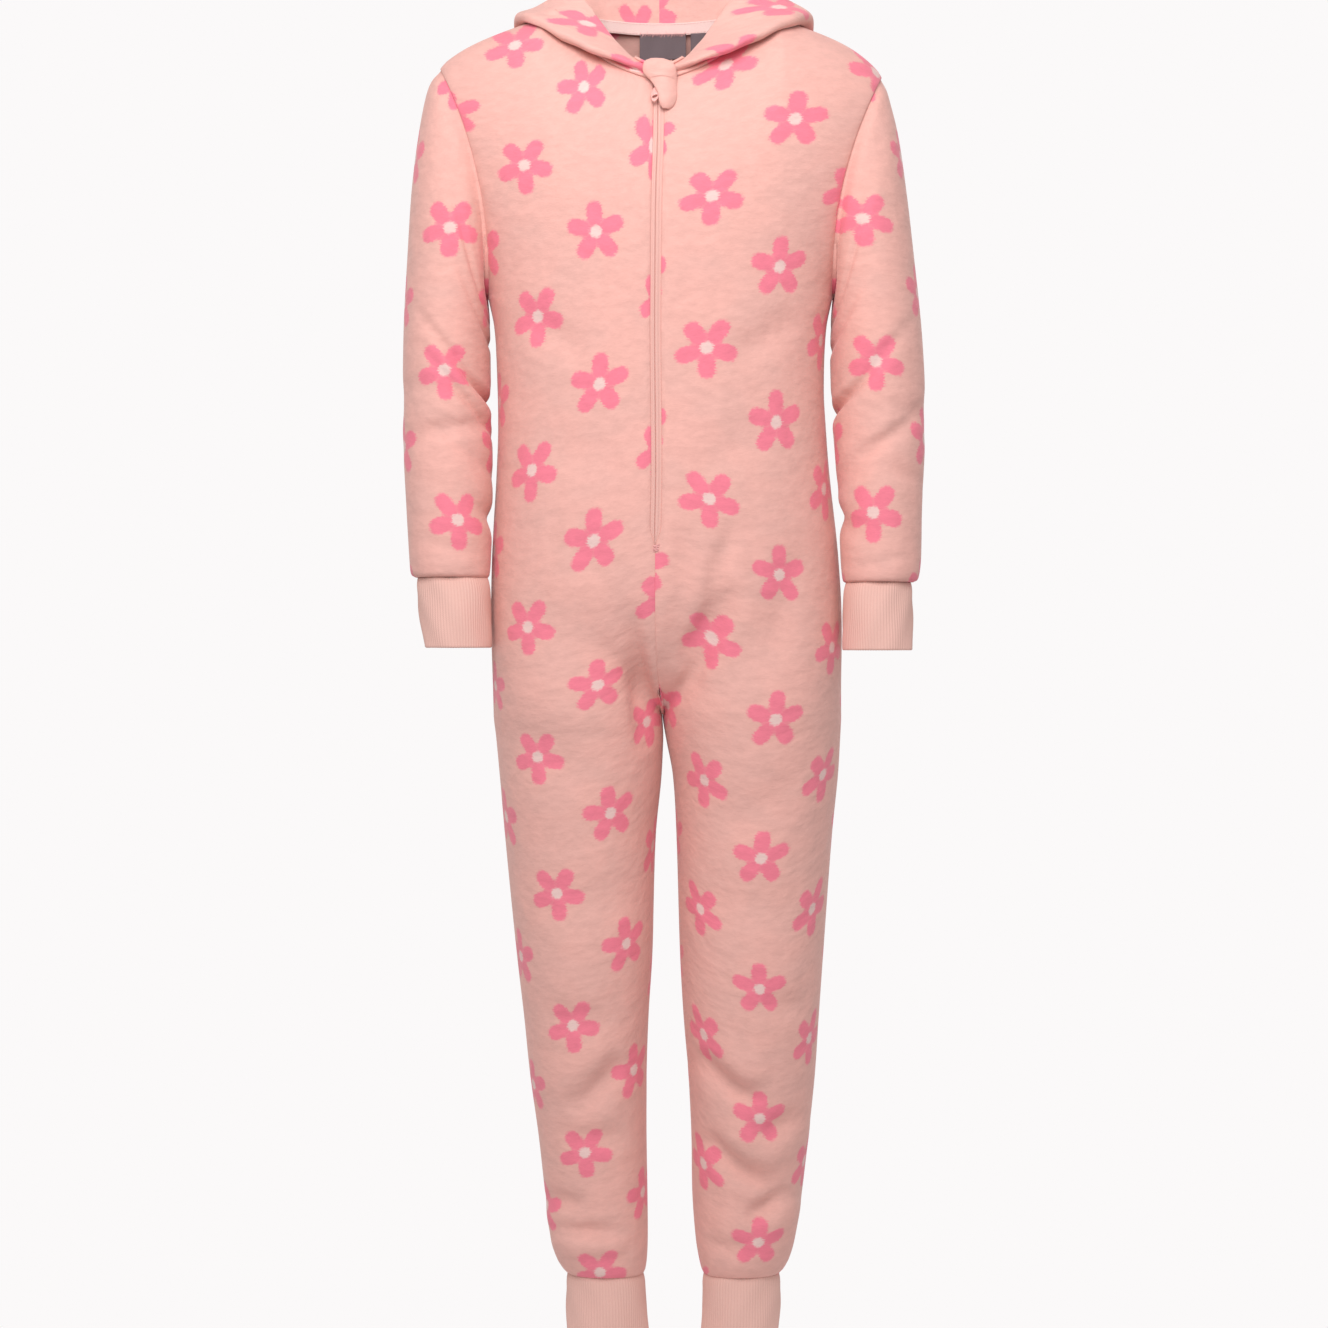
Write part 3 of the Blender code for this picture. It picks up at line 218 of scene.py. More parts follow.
# ---------------------------------------------------------------- front and back, right and left half
# Four long panels, each cut in one from shoulder to ankle, joined down the middle, at the sides and inside
# the legs. The cloth stands rounded as if worn, with its folds at the crotch, the knees and over the feet.
LEFT, RIGHT = 1, -1  # the wearer's sides, along X
HAND = {LEFT: "left", RIGHT: "right"}
FRONT, BACK = -1, 1
FLEECE = 0.0026
SEAM_DRAW = 0.00065  # how far a rounded edge is drawn back from its seam, so that two of them just close
SEAM_SINK, SEAM_SOFT = 0.0010, 0.0045  # how deep the pile sinks at a seam, and over what width
UNDERARM_Z, FORK_Z, CROTCH_Z, LEG_HEM_Z = -0.215, -0.445, -0.560, -1.0235
ZIP_FOOT_Z, ZIP_SLOT, ZIP_CLOSE = -0.410, 0.0090, 0.015
TORSO = [  # height, centre seam, right side, left side, depth in front, depth behind
    (-0.215, -0.0015, -0.1435, 0.1425, 0.097, 0.096),
    (-0.240, -0.0015, -0.1380, 0.1370, 0.097, 0.094),
    (-0.290, -0.0016, -0.1355, 0.1350, 0.098, 0.090),
    (-0.325, -0.0018, -0.1350, 0.1368, 0.099, 0.090),
    (-0.360, -0.0022, -0.1362, 0.1395, 0.101, 0.092),
    (-0.430, -0.0038, -0.1400, 0.1470, 0.102, 0.101),
    (-0.505, -0.0036, -0.1410, 0.1510, 0.099, 0.108),
    (-0.560, 0.0010, -0.1390, 0.1500, 0.095, 0.104),
]
TORSO_ROUND, LEG_ROUND = 2.35, 2.1
LEGS = {  # height, inner side, outer side, depth in front, depth behind, middle
    RIGHT: [
        (-0.445, -0.0040, -0.1402, 0.098, 0.102, 0.000),
        (-0.560, 0.0010, -0.1388, 0.090, 0.098, 0.002),
        (-0.578, 0.0020, -0.1368, 0.087, 0.094, 0.003),
        (-0.610, 0.0008, -0.1336, 0.083, 0.088, 0.003),
        (-0.660, -0.0040, -0.1295, 0.077, 0.078, 0.003),
        (-0.759, -0.0070, -0.1195, 0.067, 0.064, 0.000),
        (-0.809, -0.0100, -0.1137, 0.061, 0.058, 0.000),
        (-0.859, -0.0116, -0.1087, 0.056, 0.055, 0.003),
        (-0.909, -0.0116, -0.1020, 0.051, 0.052, 0.007),
        (-0.959, -0.0108, -0.0965, 0.047, 0.048, 0.010),
        (-0.996, -0.0105, -0.0915, 0.044, 0.045, 0.011),
        (-1.012, -0.0112, -0.0868, 0.041, 0.042, 0.011),
        (-1.0205, -0.0125, -0.0815, 0.037, 0.038, 0.011),
        (-1.0235, -0.0138, -0.0785, 0.0345, 0.0345, 0.011),
    ],
    LEFT: [
        (-0.445, -0.0040, 0.1480, 0.098, 0.102, 0.000),
        (-0.560, 0.0010, 0.1495, 0.090, 0.098, 0.002),
        (-0.578, 0.0036, 0.1488, 0.088, 0.095, 0.003),
        (-0.610, 0.0095, 0.1469, 0.084, 0.089, 0.003),
        (-0.660, 0.0125, 0.1419, 0.078, 0.080, 0.003),
        (-0.759, 0.0155, 0.1345, 0.070, 0.067, 0.000),
        (-0.809, 0.0183, 0.1310, 0.066, 0.062, 0.000),
        (-0.859, 0.0224, 0.1278, 0.061, 0.060, 0.003),
        (-0.909, 0.0249, 0.1228, 0.056, 0.056, 0.007),
        (-0.959, 0.0257, 0.1172, 0.050, 0.051, 0.010),
        (-0.996, 0.0285, 0.1115, 0.046, 0.047, 0.011),
        (-1.012, 0.0312, 0.1068, 0.042, 0.043, 0.011),
        (-1.0205, 0.0333, 0.1020, 0.037, 0.038, 0.011),
        (-1.0235, 0.0347, 0.0990, 0.0345, 0.0345, 0.011),
    ],
}
ARMS = {  # outer x and z, inner x and z, depth, how far forward, bow
    RIGHT: [
        (-0.1840, -0.0235, -0.1435, -0.215, 0.050, 0.000, 0.0135),
        (-0.1935, -0.0430, -0.1425, -0.223, 0.055, -0.001, 0.0080),
        (-0.2005, -0.078, -0.1420, -0.232, 0.057, -0.003, 0.0040),
        (-0.2062, -0.125, -0.1415, -0.246, 0.055, -0.006, 0.0010),
        (-0.2095, -0.180, -0.1410, -0.265, 0.052, -0.010, 0.0000),
        (-0.2122, -0.235, -0.1405, -0.287, 0.049, -0.014, 0.0000),
        (-0.2128, -0.286, -0.1398, -0.313, 0.046, -0.018, 0.0000),
        (-0.2122, -0.336, -0.1386, -0.349, 0.043, -0.023, 0.0000),
        (-0.2092, -0.388, -0.1386, -0.393, 0.040, -0.029, 0.0000),
        (-0.2066, -0.428, -0.1394, -0.430, 0.038, -0.034, 0.0000),
        (-0.2050, -0.4435, -0.1404, -0.4440, 0.036, -0.036, 0.0000),
        (-0.2015, -0.4470, -0.1416, -0.4470, 0.0325, -0.036, 0.0000),
    ],
    LEFT: [
        (0.1842, -0.0310, 0.1425, -0.215, 0.050, 0.000, 0.0135),
        (0.1893, -0.0500, 0.1415, -0.223, 0.055, -0.001, 0.0080),
        (0.1968, -0.082, 0.1410, -0.232, 0.057, -0.003, 0.0040),
        (0.2035, -0.130, 0.1405, -0.246, 0.055, -0.006, 0.0010),
        (0.2095, -0.185, 0.1400, -0.265, 0.052, -0.010, 0.0000),
        (0.2148, -0.238, 0.1402, -0.287, 0.049, -0.014, 0.0000),
        (0.2175, -0.288, 0.1410, -0.313, 0.046, -0.018, 0.0000),
        (0.2172, -0.338, 0.1435, -0.349, 0.043, -0.023, 0.0000),
        (0.2145, -0.390, 0.1462, -0.393, 0.040, -0.029, 0.0000),
        (0.2134, -0.430, 0.1474, -0.432, 0.038, -0.034, 0.0000),
        (0.2110, -0.4475, 0.1488, -0.4480, 0.036, -0.036, 0.0000),
        (0.2068, -0.4510, 0.1505, -0.4510, 0.0325, -0.036, 0.0000),
    ],
}
NECK_HALF, NECK_FRONT, NECK_BACK, NECK_CENTRE = 0.078, 0.060, 0.057, -0.0015
NECK_SIDE_Z, NECK_SHARE = 0.022, 0.5
SHOULDER_BEND = {RIGHT: 0.75, LEFT: 0.66}  # how straight the shoulder seam runs before it rounds over
NECK_Z = {FRONT: -0.041, BACK: 0.018}
FOLDS = [  # side, face, the line of the fold as x and z, half its width, its depth, the swelling beside it
    (LEFT, FRONT, ((0.020, -0.408), (0.017, -0.455), (0.012, -0.505)), 0.012, 0.0088, 0.0030),
    (LEFT, FRONT, ((0.014, -0.520), (0.034, -0.492), (0.058, -0.455)), 0.012, 0.0078, 0.0028),
    (RIGHT, FRONT, ((-0.017, -0.470), (-0.015, -0.530), (-0.014, -0.585)), 0.010, 0.0082, -0.0024),
    (LEFT, FRONT, ((0.030, -0.838), (0.055, -0.868), (0.082, -0.872)), 0.0105, 0.0095, -0.0042),
    (LEFT, FRONT, ((0.036, -0.905), (0.062, -0.936), (0.094, -0.942)), 0.0105, 0.0098, -0.0042),
    (LEFT, FRONT, ((0.070, -0.972), (0.088, -0.963), (0.104, -0.950)), 0.009, 0.0078, 0.0030),
    (RIGHT, FRONT, ((-0.030, -0.842), (-0.050, -0.862), (-0.072, -0.885)), 0.012, 0.0080, 0.0036),
    (RIGHT, FRONT, ((-0.088, -0.980), (-0.060, -0.986), (-0.030, -0.984)), 0.008, 0.0058, 0.0040),
    (LEFT, BACK, ((0.020, -0.850), (0.066, -0.866), (0.112, -0.874)), 0.015, 0.0065, -0.0020),
    (LEFT, BACK, ((0.045, -0.930), (0.075, -0.926), (0.105, -0.915)), 0.014, 0.0055, 0.0020),
    (RIGHT, BACK, ((-0.022, -0.842), (-0.060, -0.858), (-0.098, -0.868)), 0.015, 0.0065, -0.0020),
    (RIGHT, BACK, ((-0.090, -0.915), (-0.060, -0.930), (-0.030, -0.935)), 0.014, 0.0055, 0.0020),
    (LEFT, BACK, ((0.040, -0.602), (0.076, -0.592), (0.112, -0.575)), 0.017, 0.0070, -0.0020),
    (RIGHT, BACK, ((-0.040, -0.602), (-0.076, -0.592), (-0.108, -0.575)), 0.017, 0.0070, -0.0020),
    (LEFT, BACK, ((0.030, -0.360), (0.068, -0.350), (0.105, -0.345)), 0.018, 0.0045, 0.0015),
    (RIGHT, BACK, ((-0.025, -0.372), (-0.065, -0.358), (-0.105, -0.352)), 0.018, 0.0045, 0.0015),
    # softer ones between them
    (LEFT, FRONT, ((0.060, -0.462), (0.040, -0.505), (0.018, -0.548)), 0.009, 0.0037, 0.0017),
    (LEFT, FRONT, ((0.061, -0.406), (0.044, -0.440), (0.028, -0.506)), 0.010, 0.0040, 0.0014),
    (LEFT, FRONT, ((0.006, -0.428), (0.004, -0.480), (0.003, -0.540)), 0.008, 0.0034, 0.0011),
    (LEFT, FRONT, ((0.085, -0.330), (0.050, -0.352), (0.022, -0.360)), 0.020, 0.0025, 0.0011),
    (LEFT, FRONT, ((0.120, -0.600), (0.085, -0.640), (0.050, -0.650)), 0.020, 0.0028, 0.0011),
    (LEFT, FRONT, ((0.034, -0.700), (0.070, -0.722), (0.110, -0.718)), 0.022, 0.0028, -0.0011),
    (LEFT, FRONT, ((0.080, -0.790), (0.100, -0.800), (0.120, -0.796)), 0.013, 0.0031, -0.0014),
    (LEFT, FRONT, ((0.078, -0.903), (0.096, -0.900), (0.112, -0.885)), 0.010, 0.0047, 0.0017),
    (LEFT, FRONT, ((0.036, -0.992), (0.052, -1.000), (0.074, -0.999)), 0.009, 0.0034, -0.0017),
    (LEFT, FRONT, ((0.115, -0.420), (0.095, -0.470), (0.092, -0.520)), 0.016, 0.0028, 0.0008),
    (LEFT, FRONT, ((0.110, -0.235), (0.080, -0.262), (0.058, -0.270)), 0.014, 0.0031, 0.0011),
    (RIGHT, FRONT, ((-0.110, -0.232), (-0.086, -0.255), (-0.060, -0.268)), 0.014, 0.0034, 0.0011),
    (RIGHT, FRONT, ((-0.028, -0.436), (-0.024, -0.480), (-0.022, -0.548)), 0.010, 0.0034, 0.0014),
    (RIGHT, FRONT, ((-0.060, -0.420), (-0.045, -0.462), (-0.030, -0.500)), 0.014, 0.0031, 0.0011),
    (RIGHT, FRONT, ((-0.100, -0.340), (-0.066, -0.352), (-0.030, -0.350)), 0.022, 0.0025, 0.0011),
    (RIGHT, FRONT, ((-0.120, -0.560), (-0.090, -0.600), (-0.050, -0.612)), 0.020, 0.0028, 0.0011),
    (RIGHT, FRONT, ((-0.020, -0.700), (-0.055, -0.716), (-0.095, -0.708)), 0.022, 0.0028, -0.0011),
    (RIGHT, FRONT, ((-0.096, -0.800), (-0.070, -0.812), (-0.040, -0.806)), 0.014, 0.0031, -0.0014),
    (RIGHT, FRONT, ((-0.080, -0.900), (-0.056, -0.912), (-0.028, -0.902)), 0.012, 0.0040, -0.0017),
    (RIGHT, FRONT, ((-0.094, -0.955), (-0.080, -0.962), (-0.062, -0.962)), 0.010, 0.0053, 0.0025),
    (RIGHT, FRONT, ((-0.066, -1.004), (-0.045, -1.008), (-0.026, -1.004)), 0.008, 0.0028, -0.0014),
    (LEFT, BACK, ((0.015, -0.500), (0.030, -0.540), (0.060, -0.560)), 0.014, 0.0047, 0.0017),
    (LEFT, BACK, ((0.110, -0.250), (0.080, -0.280), (0.040, -0.290)), 0.020, 0.0040, 0.0014),
    (LEFT, BACK, ((0.100, -0.660), (0.070, -0.690), (0.040, -0.690)), 0.018, 0.0037, 0.0014),
    (LEFT, BACK, ((0.050, -0.980), (0.075, -0.990), (0.096, -0.984)), 0.010, 0.0040, 0.0017),
    (LEFT, BACK, ((0.040, -0.770), (0.075, -0.790), (0.110, -0.780)), 0.016, 0.0043, -0.0017),
    (RIGHT, BACK, ((-0.012, -0.505), (-0.030, -0.540), (-0.058, -0.556)), 0.014, 0.0047, 0.0017),
    (RIGHT, BACK, ((-0.112, -0.255), (-0.080, -0.285), (-0.045, -0.300)), 0.020, 0.0040, 0.0014),
    (RIGHT, BACK, ((-0.095, -0.670), (-0.060, -0.694), (-0.030, -0.690)), 0.018, 0.0037, 0.0014),
    (RIGHT, BACK, ((-0.080, -0.982), (-0.055, -0.990), (-0.028, -0.982)), 0.010, 0.0040, 0.0017),
    (RIGHT, BACK, ((-0.100, -0.775), (-0.065, -0.792), (-0.030, -0.780)), 0.016, 0.0043, -0.0017),
]


def between(table, keys, key):
    """A table's rows at the given keys, smooth from row to row. keys rises."""
    table, keys, key = np.array(table, float), np.array(keys, float), np.asarray(key, float)
    k = np.searchsorted(keys[1:-1], key, side="left")
    places = np.arange(len(keys))
    before, after = np.maximum(places - 1, 0), np.minimum(places + 1, len(keys) - 1)
    slopes = (table[after] - table[before]) / (keys[after] - keys[before])[:, None]
    span = (keys[k + 1] - keys[k])[..., None]
    t = (key - keys[k])[..., None] / span
    return (
        table[k] * (2 * t**3 - 3 * t**2 + 1)
        + slopes[k] * span * (t**3 - 2 * t**2 + t)
        + table[k + 1] * (3 * t**2 - 2 * t**3)
        + slopes[k + 1] * span * (t**3 - t**2)
    )


def at_height(table, z):
    """A table's columns at heights z. Each of its rows begins with a height, and they go down."""
    return np.moveaxis(between(table, [-row[0] for row in table], -np.asarray(z, float)), -1, 0)


def power(value, exponent):
    """A power that keeps the sign."""
    return np.copysign(np.abs(value) ** exponent, value)


def mix(a, b, share):
    """From a to b as share goes from 0 to 1."""
    return a + (b - a) * share


def spot(x, y, z):
    """Points from their coordinates."""
    return np.stack(np.broadcast_arrays(x, y, z), -1).astype(float)


def sleeve_point(side, down, angle):
    """down counts table rows from the armhole, angle runs from the outer line to the front."""
    arm = between(ARMS[side], range(len(ARMS[side])), down)
    outer_x, outer_z, inner_x, inner_z, depth, forward, bow = np.moveaxis(arm, -1, 0)
    cos, sin = np.cos(angle), np.sin(angle)
    x = mix(inner_x, outer_x, (1 + cos) / 2) - side * bow * sin * sin
    return spot(x, forward - depth * sin, mix(inner_z, outer_z, (1 + cos) / 2))


def armhole(side, face, lift):
    """The edge of the armhole: lift runs from 0 under the arm to pi at the shoulder seam."""
    return sleeve_point(side, np.zeros(np.shape(lift)), math.pi + face * np.asarray(lift))


def neck_point(side, angle):
    """The neck seam: angle 0 at the centre front, pi at the centre back."""
    front = np.asarray(angle) < math.pi / 2
    depth = np.where(front, NECK_FRONT, NECK_BACK)
    rise = (1 - np.abs(np.cos(angle))) ** 0.755
    base = np.where(front, NECK_Z[FRONT], NECK_Z[BACK])
    x = NECK_CENTRE + side * NECK_HALF * np.sin(angle)
    return spot(x, -depth * np.cos(angle), mix(base, NECK_SIDE_Z, rise))


def top_edge(side, face, across):
    """The neck seam, then the shoulder seam."""
    turn = np.minimum(across, NECK_SHARE) / NECK_SHARE * math.pi / 2
    neck = neck_point(side, turn if face == FRONT else math.pi - turn)
    out = np.maximum(0.0, (across - NECK_SHARE) / (1 - NECK_SHARE))
    start, tip = neck_point(side, math.pi / 2), armhole(side, face, math.pi)
    seam = spot(mix(start[0], tip[0], out), 0.0, mix(start[2], tip[2], mix(out**5, out, SHOULDER_BEND[side])))
    return np.where((across < NECK_SHARE)[..., None], neck, seam)


def chest_point(side, face, lift, across):
    """Above the underarm: lift runs from 0 there to pi at the shoulder seam."""
    rise = (1 - np.cos(lift)) / 2
    edge = armhole(side, face, lift)
    depth = mix(TORSO[0][4 if face == FRONT else 5], 0.080, rise**2.2)
    reach = mix(1.0, 0.74, np.minimum(1.0, lift / 0.9)) * math.pi / 2
    share = 2 / TORSO_ROUND
    wide = (np.sin(across * reach) / np.sin(reach)) ** share
    deep = np.maximum(np.cos(across * reach), 0.0) ** share
    deep_end = np.where(reach < math.pi / 2 - 1e-6, np.maximum(np.cos(reach), 0.0) ** share, 0.0)
    fall = (1 - deep) / (1 - deep_end)
    full = spot(mix(TORSO[0][1], edge[..., 0], wide), mix(face * depth, edge[..., 1], fall), 0.0)
    top = top_edge(side, face, across)
    turn = np.minimum(1.0, across / NECK_SHARE)
    shoulder = 1 - np.maximum(0.0, 1 - rise**4) ** mix(1.0, 0.5, turn * turn * (3 - 2 * turn))
    tip = armhole(side, face, math.pi)
    point = mix(full, top, shoulder[..., None]) + (edge - tip) * (shoulder * across**5)[..., None]
    point[..., 2] = mix(UNDERARM_Z, top[..., 2], rise)
    return point


def torso_section(side, face, z, across):
    """Level with z: across runs from 0 at the centre seam to 1 at the side seam."""
    _, centre, right, left, front, back = at_height(TORSO, z)
    edge, depth = (left if side == LEFT else right), (front if face == FRONT else back)
    turn, share = across * math.pi / 2, 2 / TORSO_ROUND
    return spot(
        mix(centre, edge, power(np.sin(turn), share)), face * depth * np.maximum(np.cos(turn), 0) ** share, z
    )


def leg_section(side, face, z, across):
    """Level with z: across runs from 0 at the inner seam to 1 at the side seam."""
    _, inner, outer, front, back, middle = at_height(LEGS[side], z)
    depth, share = (front if face == FRONT else back), 2 / LEG_ROUND
    x = mix(inner, outer, (1 - power(np.cos(across * math.pi), share)) / 2)
    return spot(x, middle + face * depth * np.maximum(np.sin(across * math.pi), 0) ** share, z)


def fork_section(side, face, z, across):
    """Torso above, leg below, filled between the legs as far in as the centre seam reaches."""
    fall = (FORK_Z - z) / (FORK_Z - CROTCH_Z)
    thigh_share = fall * fall * (3 - 2 * fall)
    seam_share = 1 - np.sqrt(np.maximum(0.0, 1 - fall * fall))
    above, below = torso_section(side, face, z, across), leg_section(side, face, z, across)
    _, inner, _, _, _, middle = at_height(LEGS[side], z)
    shift = (at_height(TORSO, z)[1] - inner) * (1 - across)
    thigh_x = mix(above[..., 0], below[..., 0] + shift, thigh_share)
    thigh_y = mix(above[..., 1], below[..., 1], thigh_share)
    filling = mix(above[..., 1], middle, seam_share)
    softness = 0.016 * fall * (1 - fall) * (1 - across**8)
    gap = face * (thigh_y - filling)
    reached = (face * (thigh_y + filling) + np.sqrt(gap * gap + softness * softness)) / 2
    return spot(thigh_x, face * reached, z)


def plain_grid(side, face, downs, acrosses):
    """A panel without its folds. downs run from 0 at the shoulder seam to 1 at the underarm, then on by the
    distance below it, and acrosses from 0 at the centre seam to 1 at the side seam."""
    down, across = np.meshgrid(downs, acrosses, indexing="ij")
    z = UNDERARM_Z - (down - 1)
    parts = [
        (down < 1, lambda rows: chest_point(side, face, math.pi * (1 - down[rows]), across[rows])),
        ((down >= 1) & (z >= FORK_Z), lambda rows: torso_section(side, face, z[rows], across[rows])),
        ((z < FORK_Z) & (z > CROTCH_Z), lambda rows: fork_section(side, face, z[rows], across[rows])),
        (z <= CROTCH_Z, lambda rows: leg_section(side, face, z[rows], across[rows])),
    ]
    grid = np.zeros((*down.shape, 3))
    for chosen, section in parts:
        rows = chosen[:, 0]
        if rows.any():
            grid[rows] = section(rows)
    return grid


def chest_smoothed(grid, acrosses):
    """Evens out the crease that the bottom of the armhole leaves across the chest."""
    # each height takes a mean over about 25 mm above and below it
    levels = np.arange(-0.34, -0.09, 0.001)
    weights = np.exp(-((np.arange(-40, 41) / 17) ** 2))
    for j, across in enumerate(acrosses[:-1]):
        share = (1 - across**8) * np.exp(-(((grid[:, j, 2] - UNDERARM_Z) / 0.065) ** 4))
        for axis in (0, 1):
            value = np.interp(levels, grid[::-1, j, 2], grid[::-1, j, axis])
            even = np.convolve(np.pad(value, 40, "edge"), weights / weights.sum(), "valid")
            grid[:, j, axis] = mix(grid[:, j, axis], np.interp(grid[:, j, 2], levels, even), share)
    return grid


def unit(vectors):
    """The same directions, each 1 long."""
    return vectors / np.maximum(np.linalg.norm(vectors, axis=-1, keepdims=True), 1e-12)


def grid_normals(grid, turned, tube=False):
    """Unit normals of a grid of points; turned is 1 or -1, whichever makes them point out of the garment."""
    along = np.gradient(grid, axis=0)
    wide = (np.roll(grid, -1, 1) - np.roll(grid, 1, 1)) / 2 if tube else np.gradient(grid, axis=1)
    return unit(np.cross(along, wide)) * turned


def fold_push(folds, x, z):
    """How far the folds push the cloth in at places on a panel."""
    total = np.zeros(x.shape)
    for line, width, depth, swell in folds:
        (ax, az), (bx, bz), (cx, cz) = line
        best = np.full(x.shape, 1e9)
        aside, place = np.zeros(x.shape), np.zeros(x.shape)
        count = 10
        for k in range(count):
            t0, t1 = k / count, (k + 1) / count
            x0, x1 = (mix(mix(ax, bx, t), mix(bx, cx, t), t) for t in (t0, t1))
            z0, z1 = (mix(mix(az, bz, t), mix(bz, cz, t), t) for t in (t0, t1))
            length = math.hypot(x1 - x0, z1 - z0)
            share = ((x - x0) * (x1 - x0) + (z - z0) * (z1 - z0)) / length**2
            kept = np.clip(share, -0.6 if k == 0 else 0.0, 1.6 if k == count - 1 else 1.0)
            off_x, off_z = x - mix(x0, x1, kept), z - mix(z0, z1, kept)
            apart = np.hypot(off_x, off_z)
            nearer = apart < best
            side = np.sign((x - x0) * (z1 - z0) - (z - z0) * (x1 - x0))
            best = np.where(nearer, apart, best)
            aside = np.where(nearer, side * apart, aside)
            place = np.where(nearer, (k + kept) / count, place)
        taper = np.maximum(0.0, 1 - (2 * np.abs(place - 0.5)) ** 2.5 * 0.75)
        off = aside / width
        # the bottom of the fold, and the swelling on one side of it
        trough = np.exp(-(off**2)) * (1 - 0.45 * off**2)
        ridge = np.exp(-((off - math.copysign(1.9, swell)) ** 2) / 1.4)
        total += taper * (depth * trough - abs(swell) * ridge)
    return total


def border_of(grid, wide, tube):
    """The edges of a grid of points: lists of row, column, place on the cloth and the way out there."""
    rows, columns = grid.shape[:2]
    last = rows - 1

    def beyond(r, c):
        return unit(grid[r, c] - grid[1 if r == 0 else r - 1, c])

    if tube:
        rims = [[(r, c % columns) for c in range(columns + 1)] for r in (0, last)]
        return [
            [(r, c, r * wide + k, beyond(r, c)) for k, (r, c) in enumerate(rim)]
            for rim in rims
        ]
    loop = [(0, c) for c in range(columns)] + [(r, columns - 1) for r in range(1, rows)]
    loop += [(last, c) for c in range(columns - 2, -1, -1)] + [(r, 0) for r in range(rows - 2, -1, -1)]
    border = []
    for r, c in loop:
        way = np.zeros(3)
        if r in (0, last):
            way += beyond(r, c)
        if c in (0, columns - 1):
            way += unit(grid[r, c] - grid[r, 1 if c == 0 else c - 1])
        border.append((r, c, r * wide + c, unit(way)))
    return [border]


def piece(name, mesh, material):
    """The finished piece of a closed mesh, its faces turned outward."""
    shape = bmesh.new()
    shape.from_mesh(mesh)
    bmesh.ops.remove_doubles(shape, verts=shape.verts, dist=1e-6)
    bmesh.ops.recalc_face_normals(shape, faces=shape.faces)
    if shape.calc_volume(signed=True) < 0:
        bmesh.ops.reverse_faces(shape, faces=shape.faces)
    shape.to_mesh(mesh)
    shape.free()
    mesh.materials.append(material)
    mesh.shade_smooth()
    made = bpy.data.objects.new(name, mesh)
    bpy.context.scene.collection.objects.link(made)
    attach(made, "root")
    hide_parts(name)
    return made


def cloth_wall(name, outer, inner, places, material, tube=False, round_by=1.0):
    """A wall of cloth between two grids of points. Its edges are rounded over, out to where the grids end.
    places are each point's coordinates on the cloth; a tube has one more column of them than of points."""
    rows, columns = outer.shape[:2]
    wide = places.shape[1]
    i, j = np.meshgrid(np.arange(rows - 1), np.arange(columns if tube else columns - 1), indexing="ij")
    i, j = i.ravel(), j.ravel()
    k = (j + 1) % columns
    quads = np.stack([i * columns + j, i * columns + k, (i + 1) * columns + k, (i + 1) * columns + j], -1)
    marks = np.stack([i * wide + j, i * wide + j + 1, (i + 1) * wide + j + 1, (i + 1) * wide + j], -1)
    points = [outer.reshape(-1, 3), inner.reshape(-1, 3)]
    faces, corners = [quads, quads[:, ::-1] + rows * columns], [marks, marks[:, ::-1]]
    count = 2 * rows * columns
    for border in border_of(outer, wide, tube):
        skin = np.array([r * columns + c for r, c, _, _ in border])
        mark = np.array([m for _, _, m, _ in border])
        way = np.array([w for _, _, _, w in border])
        top, bottom = points[0][skin], points[1][skin]
        middle, half = (top + bottom) / 2, (top - bottom) / 2
        deep = np.linalg.norm(half, axis=1, keepdims=True) * round_by
        rings = [skin]
        for angle in (math.pi / 4, math.pi / 2, math.pi * 3 / 4):
            ring = middle + half * math.cos(angle) + way * deep * math.sin(angle)
            ring[-1] = ring[0]
            points.append(ring)
            rings.append(count + np.arange(len(ring)))
            count += len(ring)
        rings.append(skin + rows * columns)
        for a, b in zip(rings[:-1], rings[1:]):
            faces.append(np.stack([a[:-1], b[:-1], b[1:], a[1:]], -1))
            corners.append(np.stack([mark[:-1], mark[:-1], mark[1:], mark[1:]], -1))
    mesh = bpy.data.meshes.new(name)
    mesh.from_pydata(np.concatenate(points).tolist(), [], np.concatenate(faces).tolist())
    flat = places.reshape(-1, 2)[np.concatenate(corners).ravel()]
    layer = mesh.uv_layers.new(name="cloth")
    layer.data.foreach_set("uv", flat.astype(np.float32).ravel())
    return piece(name, mesh, material)


def drawn_back(grid, by, sides, tube=False):
    """Draws the grid's edges back by a distance, so that the rounded edge ends on the seam."""
    made = grid.copy()
    if "top" in sides:
        made[0] -= unit(grid[0] - grid[2]) * by
    if "bottom" in sides:
        made[-1] -= unit(grid[-1] - grid[-3]) * by
    if not tube:
        made[:, 0] -= unit(grid[:, 0] - grid[:, 2]) * by
        made[:, -1] -= unit(grid[:, -1] - grid[:, -3]) * by
    return made


def run(grid, axis):
    """Distance along a grid's rows or columns."""
    steps = np.linalg.norm(np.diff(grid, axis=axis), axis=-1)
    return np.concatenate([np.zeros_like(np.take(steps, [0], axis)), np.cumsum(steps, axis)], axis)


